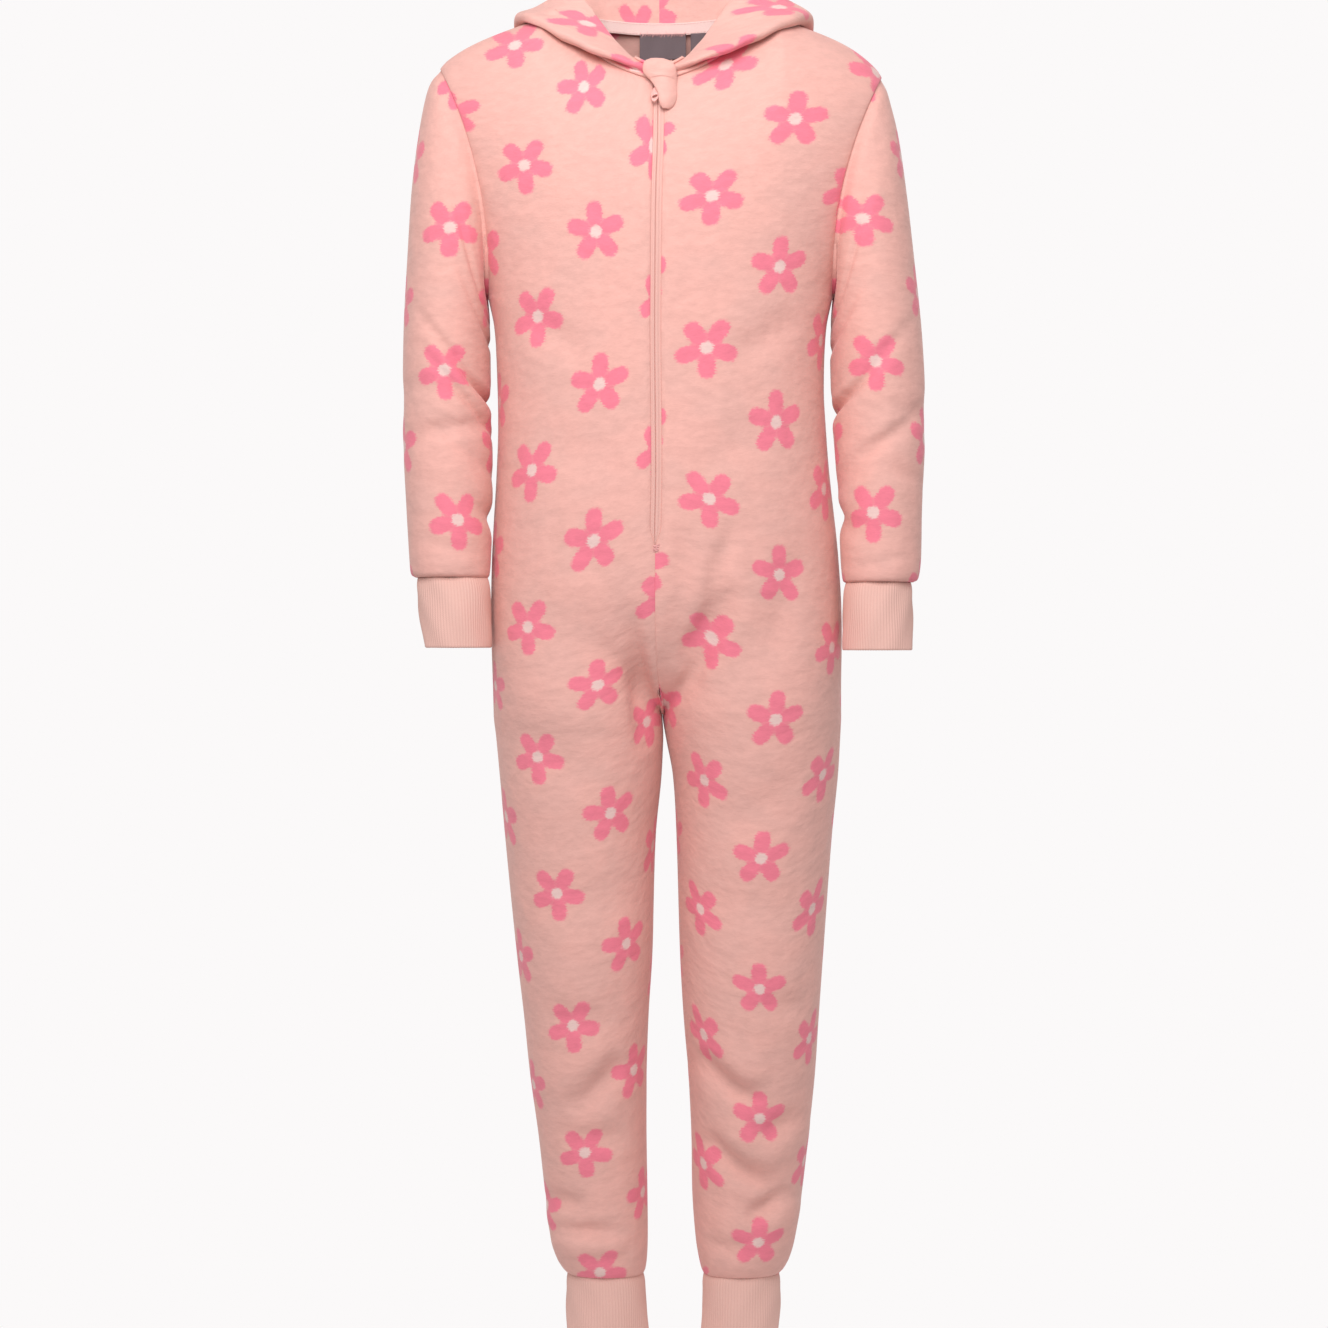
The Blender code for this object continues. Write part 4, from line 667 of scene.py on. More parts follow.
# Where the flowers fall on each panel: at each height, where its main column stands, which flower of it that
# height is, how the print bends away to the side of that column, and how much narrower it looks there.
PRINT = {
    (RIGHT, FRONT): [
        (0.0600, -0.1250, -0.66, -0.090, 0.070, 1.05),
        (-0.0114, -0.1195, 0, -0.090, 0.070, 1.02),
        (-0.0497, -0.1160, 0.37, -0.090, 0.040, 1.01),
        (-0.1144, -0.1106, 1, -0.030, 0.010, 0.99),
        (-0.2366, -0.1007, 2, -0.043, 0.000, 0.99),
        (-0.3610, -0.1046, 3, -0.034, 0.014, 1.00),
        (-0.4881, -0.1079, 4, -0.009, 0.049, 1.00),
        (-0.5936, -0.1009, 5, -0.005, 0.070, 0.98),
        (-0.7044, -0.0849, 6, -0.045, 0.065, 0.95),
        (-0.8126, -0.0722, 7, -0.068, 0.068, 0.93),
        (-0.9180, -0.0624, 8, -0.060, 0.080, 0.94),
        (-1.0181, -0.0502, 9, -0.070, 0.070, 0.93),
        (-1.0300, -0.0490, 9.1, -0.070, 0.070, 0.93),
    ],
    (LEFT, FRONT): [
        (0.0600, 0.0600, -0.80, 0.200, -0.100, 1.22),
        (-0.0296, 0.0530, 0, 0.200, -0.100, 1.17),
        (-0.1413, 0.0420, 1, 0.039, 0.003, 1.05),
        (-0.2637, 0.0382, 2, 0.035, 0.005, 1.01),
        (-0.3854, 0.0392, 3, -0.053, 0.048, 1.00),
        (-0.4989, 0.0414, 4, -0.072, 0.024, 0.99),
        (-0.6125, 0.0353, 5, -0.156, 0.088, 0.96),
        (-0.7179, 0.0316, 6, -0.216, 0.108, 0.92),
        (-0.8207, 0.0348, 7, -0.240, 0.110, 0.89),
        (-0.9289, 0.0348, 8, -0.250, 0.125, 0.92),
        (-1.0300, 0.0340, 9, -0.250, 0.125, 0.92),
    ],
}
PRINT[RIGHT, BACK] = [(z, -x, n + 0.35, *bend, wide) for z, x, n, *bend, wide in PRINT[LEFT, FRONT]]
PRINT[LEFT, BACK] = [(z, -x, n + 0.15, *bend, wide) for z, x, n, *bend, wide in PRINT[RIGHT, FRONT]]
PRINT_REACH = {  # how many columns to either side the bend goes on
    (RIGHT, FRONT): (-2.2, 1.3),
    (LEFT, FRONT): (-0.35, 2.4),
    (RIGHT, BACK): (-0.35, 2.4),
    (LEFT, BACK): (-2.2, 1.3),
}
STRAY = [  # height, and how far the zip strays there from the middle, since it doesn't hang quite straight
    (0.060, 0.0),
    (-0.0865, -0.0004),
    (-0.133, -0.0018),
    (-0.181, -0.0024),
    (-0.251, -0.0028),
    (-0.318, -0.0020),
    (-0.382, -0.0010),
    (-0.430, -0.0008),
    (-0.560, 0.0),
    (-1.1, 0.0),
]
SLOT_SOFT, STRAY_SOFT = 0.006, 0.045  # over what width the slot's edge and its straying fade out
FOLD_FADE = 2.5  # how soon the folds reach their depth beside a seam
PROBE = (100, 25)  # a row and column in the middle of a panel, where it must face away from the body
acrosses = np.concatenate([[0.0, 0.018, 0.032], np.linspace(0.05, 0.95, 50), [0.968, 0.982, 1.0]])
chest_downs = np.linspace(0, 1, 66)[:-1]
heights = np.linspace(UNDERARM_Z, LEG_HEM_Z + 0.006, 205)
heights = np.append(heights, [LEG_HEM_Z + 0.003, LEG_HEM_Z])
downs = np.append(chest_downs, 1 + UNDERARM_Z - heights)
panels = {}


def facing_out(normals, grid):
    """The normals of a panel, turned round if they point into the garment."""
    return -normals if normals[PROBE][1] * grid[PROBE][1] < 0 else normals


for side, face in ((RIGHT, FRONT), (LEFT, FRONT), (RIGHT, BACK), (LEFT, BACK)):
    name = ("front_" if face == FRONT else "back_") + HAND[side]
    plain = chest_smoothed(plain_grid(side, face, downs, acrosses), acrosses)
    normals = facing_out(grid_normals(plain, 1), plain)
    folds = [(line, w, d, s) for s_, f_, line, w, d, s in FOLDS if (s_, f_) == (side, face)]
    push = fold_push(folds, plain[..., 0], plain[..., 2])
    push = push * np.minimum(1.0, np.sin(math.pi * acrosses) * FOLD_FADE)
    out_run = run(plain, 1)
    girth = out_run[:, -1:]
    down_run = run(plain, 0)
    # the pile sinks a little towards every seam
    for gone in (out_run, girth - out_run, down_run):
        push = push + SEAM_SINK * np.exp(-((gone / SEAM_SOFT) ** 2))
    outer = plain - normals * push[..., None]
    # centre front: the zip's slot, closing to a seam below it
    z = plain[:, 0, 2]
    closing = np.clip((ZIP_FOOT_Z - z) / ZIP_CLOSE, 0, 1)
    if face == FRONT:
        slot = np.where(z >= CROTCH_Z - 1e-6, mix(ZIP_SLOT / 2, 0.0, closing), 0.0)
        outer[..., 0] += side * slot[:, None] * np.exp(-((out_run / SLOT_SOFT) ** 2))
        outer[..., 0] += at_height(STRAY, plain[..., 2])[1] * np.exp(-((out_run / STRAY_SOFT) ** 2))
    outer = drawn_back(outer, SEAM_DRAW, ("top",))
    inner = outer - facing_out(grid_normals(outer, 1), plain) * FLEECE
    # the print
    _, column, count, lean, bend, wide = at_height(PRINT[side, face], plain[..., 2])
    away = side * (plain[..., 0] - column)
    level_run = run(plain * (1, 1, 0), 1)
    start = np.array([[np.interp(0.0, a, r)] for a, r in zip(away, level_run)])
    columns_off = (level_run - start) / wide / (REPEAT[0] / 2)
    kept = np.clip(columns_off, *PRINT_REACH[side, face])
    v = (count + lean * kept + bend * kept**2) * REPEAT[1]
    places = np.stack([columns_off * side * REPEAT[0] / 2, v], -1)
    made = cloth_wall(name, outer, inner, places, fleece)
    panels[name] = (made, outer, inner)

# ---------------------------------------------------------------- sleeves
# Two sleeves set in at the armholes, each one piece of fleece joined under the arm, wrinkled at the elbow.
SLEEVE_FOLDS = {  # down the outer line, angle of the deepest point, slant, spread in angle, half width, depth
    RIGHT: [
        (0.236, 158, 0.034, 62, 0.011, 0.0085),
        (0.262, 132, 0.046, 44, 0.008, 0.0052),
        (0.292, 100, -0.024, 58, 0.010, 0.0052),
        (0.375, 200, 0.018, 80, 0.012, 0.0048),
        (0.055, 120, 0.030, 40, 0.012, 0.0024),
        (0.120, 165, 0.040, 50, 0.014, 0.0022),
        (0.318, 140, 0.028, 45, 0.009, 0.0024),
        (0.205, 100, 0.012, 45, 0.010, 0.0018),
        (0.262, 60, -0.016, 40, 0.009, 0.0018),
        (0.400, 95, 0.010, 50, 0.008, 0.0018),
        (0.250, 270, 0.022, 70, 0.014, 0.0040),
        (0.300, 300, -0.018, 60, 0.012, 0.0026),
    ],
    LEFT: [
        (0.243, 150, 0.034, 60, 0.011, 0.0082),
        (0.300, 92, 0.030, 55, 0.010, 0.0055),
        (0.330, 60, -0.020, 34, 0.008, 0.0032),
        (0.360, 200, -0.018, 80, 0.012, 0.0048),
        (0.060, 125, 0.030, 40, 0.012, 0.0024),
        (0.130, 160, 0.036, 50, 0.014, 0.0020),
        (0.325, 130, 0.024, 45, 0.009, 0.0024),
        (0.210, 95, 0.014, 45, 0.010, 0.0018),
        (0.275, 50, -0.014, 40, 0.009, 0.0018),
        (0.405, 100, 0.012, 50, 0.008, 0.0020),
        (0.255, 270, 0.020, 70, 0.014, 0.0040),
        (0.310, 300, -0.020, 60, 0.012, 0.0026),
    ],
}
SLEEVE_PRINT = {  # height, where the column stands, which flower of it that height is
    RIGHT: [
        (0.0, -0.170, -0.30),
        (-0.163, -0.1715, 1),
        (-0.279, -0.1760, 2),
        (-0.401, -0.1646, 3),
        (-0.470, -0.160, 3.57),
    ],
    LEFT: [
        (0.0, 0.160, -0.40),
        (-0.1555, 0.1640, 1),
        (-0.2715, 0.1745, 2),
        (-0.395, 0.1720, 3),
        (-0.470, 0.172, 3.62),
    ],
}
turns = np.linspace(-math.pi, math.pi, 84, endpoint=False)
front_turns = slice(len(turns) // 2, None)
hem_stops = [9.65, 9.85, 10.0, 10.25, 10.5, 10.75, 11.0]
stops = np.concatenate([[0.0, 0.05, 0.12, 0.22], np.linspace(0.35, 9.4, 104), hem_stops])
ARM_SINK, ARM_SOFT = 0.0026, 0.0085  # how far the sleeve is drawn in at the armhole, and over what length
ALLOWANCE, ALLOWANCE_SINK, ALLOWANCE_THICK = 0.0055, 0.0009, 0.0014  # its length, its depth under the panels
for side in (RIGHT, LEFT):
    name = "sleeve_" + HAND[side]
    down, angle = np.meshgrid(stops, turns, indexing="ij")
    plain = sleeve_point(side, down, angle)
    normals = grid_normals(plain, -side, tube=True)
    gone = ARMS[side][0][1] - between([(r[1],) for r in ARMS[side]], range(len(ARMS[side])), down)[..., 0]
    push = np.zeros(down.shape)
    for at, deepest, slant, spread, width, depth in SLEEVE_FOLDS[side]:
        turn = (np.degrees(angle) - deepest + 180) % 360 - 180
        off = (gone - at - slant * turn / 90) / width
        push += depth * np.exp(-((turn / spread) ** 2)) * np.exp(-off * off) * (1 - 0.5 * off * off)
    # no folds at either end
    push *= np.clip(down, 0, 1) * np.clip((9.6 - down) / 0.8, 0, 1)
    length = run(plain, 0)
    push += ARM_SINK * np.exp(-((length / ARM_SOFT) ** 2))
    outer = drawn_back(plain - normals * push[..., None], SEAM_DRAW, ("top",), tube=True)
    normals = grid_normals(outer, -side, tube=True)
    inner = outer - normals * FLEECE
    ring = np.concatenate([plain, plain[:, :1]], 1)
    around = run(ring * (1, 1, 0), 1)
    # one column of flowers runs down the front of the sleeve
    _, column, count = at_height(SLEEVE_PRINT[side], ring[..., 2])
    away = side * (ring[..., 0] - column)[:, front_turns]
    start = np.array([[np.interp(0.0, a[::-1], r[::-1])] for a, r in zip(away, around[:, front_turns])])
    places = np.stack([(around - start) * -side, count * REPEAT[1]], -1)
    # the seam allowance: it runs on under the edges of the front and the back
    row = np.abs(turns) / math.pi * len(chest_downs)
    below = np.minimum(row.astype(int), len(chest_downs) - 1)
    share = (row - below)[:, None]
    skins = [panels[f"{face}_{HAND[side]}"] for face in ("front", "back")]
    sides = []
    for skin, column in ((1, -1), (2, -1), (2, -4)):
        line = [mix(found[skin][below, column], found[skin][below + 1, column], share) for found in skins]
        sides.append(np.where((turns >= 0)[:, None], *line))
    out = unit(sides[0] - sides[1])
    under = sides[1] - out * ALLOWANCE_SINK
    tucked = under + unit(sides[2] - sides[1]) * ALLOWANCE
    outer = np.concatenate([[tucked, under], outer])
    inner = np.concatenate([[tucked - out * ALLOWANCE_THICK, under - out * ALLOWANCE_THICK], inner])
    places = np.concatenate([places[:1], places[:1], places])
    made = cloth_wall(name, outer, inner, places, fleece, tube=True)

# ---------------------------------------------------------------- rib cuffs
# Four knitted bands, folded double and sewn to the sleeves and legs: fine ribs that run down, plain dyed in
# the ground colour of the fleece.
RIB, RIB_PITCH, RIB_DEPTH = 0.0022, 0.0024, 0.00038
RIB_COURSE, RIB_COUNTED = 0.0016, 8  # height of a row of stitches, and the row where the ribs are counted
CUFFS = {  # height of the seam, then rows of drop, inner side, outer side, depth, middle
    "cuff_sleeve_right": (
        -0.4473,
        [
            (0.000, -0.1410, -0.2000, 0.0325, -0.036),
            (0.012, -0.1402, -0.1985, 0.0322, -0.037),
            (0.035, -0.1398, -0.1962, 0.0315, -0.039),
            (0.0575, -0.1395, -0.1935, 0.0308, -0.041),
        ],
    ),
    "cuff_sleeve_left": (
        -0.4513,
        [
            (0.000, 0.1506, 0.2055, 0.0325, -0.036),
            (0.012, 0.1500, 0.2048, 0.0322, -0.037),
            (0.035, 0.1497, 0.2052, 0.0318, -0.039),
            (0.0555, 0.1494, 0.2064, 0.0315, -0.041),
        ],
    ),
    "cuff_leg_right": (
        -1.0238,
        [
            (0.000, -0.0138, -0.0785, 0.0345, 0.011),
            (0.018, -0.0132, -0.0775, 0.0332, 0.012),
            (0.042, -0.0120, -0.0778, 0.0330, 0.013),
            (0.066, -0.0112, -0.0785, 0.0335, 0.014),
        ],
    ),
    "cuff_leg_left": (
        -1.0238,
        [
            (0.000, 0.0347, 0.0990, 0.0345, 0.011),
            (0.018, 0.0352, 0.0983, 0.0332, 0.012),
            (0.042, 0.0350, 0.0975, 0.0330, 0.013),
            (0.066, 0.0346, 0.0972, 0.0335, 0.014),
        ],
    ),
}
rib, tree, shader = fresh("rib")
cloth, across, down = on_cloth(tree)
fuzz = noise(tree, cloth, (900.0, 500.0), 3.0, 0.6)
# knitted stitches: a small v in every wale
wale = calc(tree, "ABSOLUTE", calc(tree, "WRAP", across, RIB_PITCH / 2, -RIB_PITCH / 2))
course = waved(tree, calc(tree, "SUBTRACT", down, wale), RIB_COURSE)
base = blend(tree, ramp(tree, fuzz, 0.3, 0.7, 0.0, 0.5), (0.820, 0.505, 0.440), (0.770, 0.455, 0.392))
# painted shade: the furrows between the ribs are coloured darker, as if in shadow
painted_furrow_shade = ramp(tree, wale, RIB_PITCH * 0.30, RIB_PITCH * 0.5, 0.0, 0.28)
knit = calc(tree, "MULTIPLY_ADD", course, 0.3, calc(tree, "MULTIPLY", fuzz, 0.6))
finish(
    tree,
    shader,
    {
        "Base Color": blend(tree, painted_furrow_shade, base, (0.640, 0.330, 0.280)),
        "Roughness": 0.9,
        "Specular IOR Level": 0.2,
        "Sheen Weight": 0.2,
        "Sheen Tint": (1.0, 0.85, 0.80, 1.0),
        "Normal": relief(tree, knit, 0.0004, 0.4),
    },
)
for name, (top_z, rows) in CUFFS.items():
    end = rows[-1][0]
    drops = np.concatenate([[0.0008], np.linspace(0.004, end - 0.004, 16), [end - 0.0022, end - 0.0011]])
    drop, angle = np.meshgrid(drops, np.linspace(0, 2 * math.pi, 480, endpoint=False), indexing="ij")
    _, inner_x, outer_x, depth, middle = np.moveaxis(between(rows, [r[0] for r in rows], drop), -1, 0)
    plain = spot(mix(inner_x, outer_x, (1 + np.cos(angle)) / 2), middle - depth * np.sin(angle), top_z - drop)
    around = run(np.concatenate([plain, plain[:, :1]], 1), 1)
    girth = float(around[RIB_COUNTED, -1])
    count = round(girth / RIB_PITCH)
    u = around / around[:, -1:] * count * RIB_PITCH
    away = plain - plain.mean(1, keepdims=True)
    away[..., 2] = 0
    away = unit(away)
    # the band is drawn in a little where it is sewn on, and bellies below
    wave = RIB_DEPTH * (0.5 - 0.5 * np.cos(2 * math.pi * u[:, :-1] / RIB_PITCH))
    belly = 0.0012 * np.sin(np.clip(drop / end, 0, 1) * math.pi) - 0.0010 * np.exp(-((drop / 0.004) ** 2))
    ripple = 0.0006 * np.sin(angle * 3 + drop * 90) + 0.0004 * np.sin(angle * 7 - drop * 140)
    outer = plain + away * (wave - RIB_DEPTH + belly + ripple)[..., None]
    inner = plain + away * (-RIB + belly + ripple)[..., None]
    places = np.stack([u, np.repeat(drop[:, :1], u.shape[1], 1)], -1)
    made = cloth_wall(name, outer, inner, places, rib, tube=True)

# ---------------------------------------------------------------- hood
# Two halves joined by a seam over the head. It lies back: an under layer goes out over the shoulders and
# down the back, folds, and comes up again to the rim, so that its inside shows round the neck.
HOOD = [  # angle round the neck, crest out and up, fold out, up and gap, tip, slump, rim out and up
    (0, 0.0006, 0.003, 0.0014, 0.004, 0.0006, 0.31, 0.0, 0.0, 0.0085),
    (25, 0.0030, 0.003, 0.008, 0.001, 0.0065, 0.31, 0.0, -0.013, 0.0112),
    (50, 0.0070, 0.0035, 0.017, 0.001, 0.0100, 0.36, 0.0, -0.0174, 0.0215),
    (75, 0.0105, 0.0025, 0.0295, -0.0025, 0.0115, 0.34, 0.14, -0.0110, 0.0262),
    (98, 0.0115, 0.0030, 0.0365, -0.0195, 0.0120, 0.21, 0.19, -0.0040, 0.0260),
    (125, 0.0120, 0.0150, 0.043, -0.055, 0.0180, 0.28, 0.0, 0.0350, 0.0200),
    (152, 0.015, 0.041, 0.048, -0.13, 0.015, 0.31, 0.0, 0.046, 0.012),
    (180, 0.016, 0.05, 0.052, -0.185, 0.017, 0.31, 0.0, 0.054, 0.008),
]
HOOD_STRIP, HOOD_SPREAD, HOOD_SLUMP = (8.0, 32.0), {RIGHT: 0.92, LEFT: 1.09}, {RIGHT: 1.0, LEFT: 0.12}
HOOD_CLEAR, HOOD_EASE, FOLD_COLUMN, HOOD_JOIN = 0.0020, 0.5, 8, 105.0
HEM, HEM_WIDE = 0.6, 0.007  # how much thicker the turned-in rim is, and how wide
HOOD_ROWS, HOOD_COLUMNS, HOOD_STEP = 21, 14, 9.0  # rows round the neck, this many degrees apart
HOOD_EVEN = 5  # the rows beside the zip that run evenly together
HOOD_PRINT = {RIGHT: (0.084, 0.064), LEFT: (0.064, 0.048)}  # where the print starts, across and down
HOOD_TURNED = 4.6  # from this column on it is the outer layer


def neck_seam(side, angle):
    """The neck seam, straight between the places where the panels' edge was cut."""
    step = 18.0
    start = math.floor(angle / step) * step
    end = min(180.0, start + step)
    a, b = neck_point(side, math.radians(start)), neck_point(side, math.radians(end))
    if start == 0:
        a = a + np.array([side * ZIP_SLOT / 2, 0, 0])
    return a if end == start else mix(a, b, (angle - start) / (end - start))


def hood_section(side, angle, share):
    """A point of the hood: angle round the neck in degrees, share from 0 at the neck seam to 1 at the rim."""
    row = between(HOOD, [r[0] for r in HOOD], angle)
    _, crest_out, crest_up, fold_out, fold_up, fold_gap, tip, slump, rim_out, rim_up = row
    beyond = fold_out + fold_gap
    under_rise = min(0.14 * (crest_up - fold_up), 0.35 * fold_gap)
    outer_rise = min(tip * (rim_up - fold_up), fold_gap)
    keys = np.array(
        [
            (0.0, 0.0),
            (crest_out * 0.45, crest_up * 0.75),
            (crest_out, crest_up),
            (mix(crest_out, fold_out, 0.55), mix(crest_up, fold_up, 0.42)),
            (fold_out, fold_up + under_rise),
            (fold_out + fold_gap * 0.5, fold_up),
            (beyond, fold_up + outer_rise),
            (mix(beyond, rim_out, 0.45), mix(fold_up, rim_up, 0.70 - slump * HOOD_SLUMP[side])),
            (rim_out, rim_up),
        ]
    )
    back = min(1.0, max(0.0, (angle - HOOD_JOIN) / (180.0 - HOOD_JOIN)))
    keys[:, 0] *= mix(HOOD_SPREAD[side], 1.0, back * back * (3 - 2 * back))
    folded = min(1.0, max(0.0, (angle - HOOD_STRIP[0]) / (HOOD_STRIP[1] - HOOD_STRIP[0])))
    bulge = mix(0.0012, 0.0060, angle / HOOD_STRIP[1])
    t = np.linspace(0, 1, len(keys))
    strip = np.stack([rim_out * t * t + bulge * np.sin(math.pi * t), rim_up * t], -1)
    keys = mix(strip, keys, folded * folded * (3 - 2 * folded))
    # its slopes are those of evenly spaced keys, and half as steep at both ends
    place = share * (len(keys) - 1)
    k = min(int(place), len(keys) - 2)
    slope = [(keys[min(i + 1, len(keys) - 1)] - keys[max(i - 1, 0)]) / 2 for i in (k, k + 1)]
    t = place - k
    found = (
        keys[k] * (2 * t**3 - 3 * t**2 + 1)
        + slope[0] * (t**3 - 2 * t**2 + t)
        + keys[k + 1] * (3 * t**2 - 2 * t**3)
        + slope[1] * (t**3 - t**2)
    )
    out = np.array([side * math.sin(math.radians(angle)), -math.cos(math.radians(angle)), 0])
    return neck_seam(side, angle) + out * found[0] + np.array([0, 0, found[1]])


def rest_on(skin, point, clearance):
    """The point, moved out of the skin until it's clear of it."""
    near, normal, _, _ = skin.find_nearest(point)
    height = (point - near).dot(normal)
    return point if height > clearance else point + normal * (clearance - height)


def towards_zip(side, coarse, angles):
    """Runs the rows beside the zip evenly together into the narrow strip next to it."""

    def from_seam(i):
        turn = math.radians(angles[i])
        out = (side * math.sin(turn), -math.cos(turn), 0)
        round_neck = (side * math.cos(turn), math.sin(turn), 0)
        return coarse[i, 0], np.array([out, round_neck, (0, 0, 1)])

    (first, first_ways), (last, last_ways) = from_seam(0), from_seam(HOOD_EVEN)
    first_shape = (coarse[0] - first) @ first_ways.T
    last_shape = (coarse[HOOD_EVEN] - last) @ last_ways.T
    for i in range(1, HOOD_EVEN):
        seam, ways = from_seam(i)
        share = i / HOOD_EVEN
        coarse[i] = seam + mix(first_shape, last_shape, share * share * (3 - 2 * share)) @ ways
        for j in range(1, HOOD_COLUMNS):
            clearance = min(0.0012, 0.4 * np.linalg.norm(coarse[i, j] - seam))
            coarse[i, j] = rest_on(shoulders, Vector(coarse[i, j]), clearance)


# the shoulders and upper back that the hood lies on
points, faces = [], []
for side, face in ((RIGHT, FRONT), (LEFT, FRONT), (RIGHT, BACK), (LEFT, BACK)):
    rows = [k / 10 for k in range(10)] + [1 + k * 0.039 for k in range(6)]
    grid = plain_grid(side, face, rows, np.linspace(0, 1, 11))
    start = len(points)
    points += [Vector(p) for p in grid.reshape(-1, 3)]
    for i in range(len(rows) - 1):
        for j in range(10):
            a = start + i * 11 + j
            quad = (a, a + 1, a + 12, a + 11)
            faces.append(quad if side * face > 0 else quad[::-1])
shoulders = BVHTree.FromPolygons(points, faces)
near, normal, _, _ = shoulders.find_nearest(Vector((0.03, -0.2, -0.15)))
if normal.y > 0:
    shoulders = BVHTree.FromPolygons(points, [f[::-1] for f in faces])
hoods = {}
for side in (RIGHT, LEFT):
    name = "hood_" + HAND[side]
    angles = [k * HOOD_STEP for k in range(HOOD_ROWS)]
    shares = [k / (HOOD_COLUMNS - 1) for k in range(HOOD_COLUMNS)]
    grid = [[Vector(hood_section(side, a, k)) for k in shares] for a in angles]
    clear = []
    for angle, row in zip(angles, grid):
        folded = min(1.0, max(0.0, (angle - HOOD_STRIP[0]) / (HOOD_STRIP[1] - HOOD_STRIP[0])))
        near = [min(HOOD_CLEAR, HOOD_EASE * (p - row[0]).length) for p in row]
        clear.append([c + (FLEECE * folded if j > FOLD_COLUMN + 1 else 0.0) for j, c in enumerate(near)])
    for row, needed in zip(grid, clear):
        row[:] = [rest_on(shoulders, p, c) if c else p for p, c in zip(row, needed)]
    # the middles and edges of its squares have to be clear of the shoulders too
    for _ in range(4):
        for i in range(HOOD_ROWS - 1):
            for j in range(HOOD_COLUMNS - 1):
                square = [(i, j), (i, j + 1), (i + 1, j + 1), (i + 1, j)]
                for group in (square, square[:2], square[1:3], square[2:], square[::2]):
                    middle = sum((grid[a][b] for a, b in group), Vector()) / len(group)
                    needed = sum(clear[a][b] for a, b in group) / len(group)
                    lift = rest_on(shoulders, middle, needed * 0.95) - middle
                    for a, b in group:
                        if clear[a][b]:
                            grid[a][b] = grid[a][b] + lift
    coarse = np.array([[tuple(p) for p in row] for row in grid])
    coarse[-1, :, 0] = NECK_CENTRE
    towards_zip(side, coarse, angles)
    # the same shape with many more rows and columns, closer together at its edges
    rows = np.concatenate([[0, 0.25, 0.5], np.linspace(0.8, 19.3, 84), [19.6, 19.8, 20]])
    columns = np.concatenate([[0, 0.15, 0.3], np.linspace(0.5, 12.5, 64), [12.7, 12.85, 13]])
    tall = between(coarse.reshape(HOOD_ROWS, -1), range(HOOD_ROWS), rows).reshape(len(rows), HOOD_COLUMNS, 3)
    crossed = np.moveaxis(tall, 1, 0).reshape(HOOD_COLUMNS, -1)
    fine = between(crossed, range(HOOD_COLUMNS), columns).reshape(len(columns), len(rows), 3)
    fine = np.moveaxis(fine, 0, 1)
    normals = grid_normals(fine, side)
    out_run, along_run = run(fine, 1), run(fine, 0)
    seams = (out_run, along_run[-1:] - along_run)
    sunk = sum(SEAM_SINK * np.exp(-((gone / SEAM_SOFT) ** 2)) for gone in seams)
    outer = drawn_back(fine - normals * sunk[..., None], SEAM_DRAW, ("top", "bottom"))
    normals = grid_normals(outer, side)
    # the rim is turned in and sewn down, so the cloth is double there
    rim_run = out_run[:, -1:] - out_run
    double = HEM * np.exp(-((rim_run / HEM_WIDE) ** 4)) * np.clip((rows[:, None] - 4) / 2, 0, 1)
    inner = outer - normals * FLEECE * (1 + double)[..., None]
    girth = along_run[:, 20:21]
    start_across, start_down = HOOD_PRINT[side]
    u = (girth - girth[-1]) * -side * np.ones((1, len(columns))) + start_across
    v = out_run * np.ones((len(rows), 1)) + start_down
    # behind the neck the outer layer's print is measured down from the rim
    b, c = int(np.argmax(rows > 10.9)), int(np.argmax(columns > HOOD_TURNED))
    level = run(fine * (1, 1, 0), 0)
    v[b:, c:] = (v[b, -1] - rim_run)[b:, c:]
    u[b:, c:] = (u[b] - side * (level - level[b]))[b:, c:]
    made = cloth_wall(name, outer, inner, np.stack([u, v], -1), fleece)
    hoods[name] = (made, outer, inner)

# ---------------------------------------------------------------- sewing thread
# What sews the tape, the labels and the foot of the zip: spun polyester thread, each stitch a short arch
# lying on the cloth. The zip's coil is a stiff thread too, laid from side to side.
thread, tree, shader = fresh("thread")
place = node(tree, "ShaderNodeTexCoord").outputs["Object"]
twist = noise(tree, place, (2600.0, 2600.0), 3.0, 0.6)
dyed = blend(tree, ramp(tree, twist, 0.3, 0.7), (0.800, 0.360, 0.350), (0.860, 0.470, 0.440))
finish(
    tree,
    shader,
    {"Base Color": dyed, "Roughness": 0.55, "Sheen Weight": 0.2, "Normal": relief(tree, twist, 0.0001, 0.4)},
)
stitching = bpy.data.node_groups.new("stitching", "GeometryNodeTree")
face = stitching.interface
face.new_socket("Geometry", in_out="INPUT", socket_type="NodeSocketGeometry")
for label, start in (("Length", 0.0022), ("Arch", 0.0004), ("Thread", 0.00018), ("Stray", 0.1)):
    face.new_socket(label, in_out="INPUT", socket_type="NodeSocketFloat").default_value = start
face.new_socket("Seed", in_out="INPUT", socket_type="NodeSocketInt").default_value = 1
face.new_socket("Material", in_out="INPUT", socket_type="NodeSocketMaterial")
face.new_socket("Geometry", in_out="OUTPUT", socket_type="NodeSocketGeometry")
tree = stitching
given = node(tree, "NodeGroupInput").outputs
half = calc(tree, "MULTIPLY", given["Length"], 0.5)
start = node(tree, "ShaderNodeCombineXYZ", {0: calc(tree, "MULTIPLY", half, -1.0)}).outputs[0]
top = node(tree, "ShaderNodeCombineXYZ", {2: calc(tree, "MULTIPLY", given["Arch"], 2.0)}).outputs[0]
end = node(tree, "ShaderNodeCombineXYZ", {0: half}).outputs[0]
bow = {"Resolution": 4, "Start": start, "Middle": top, "End": end}
arch = node(tree, "GeometryNodeCurveQuadraticBezier", bow).outputs[0]
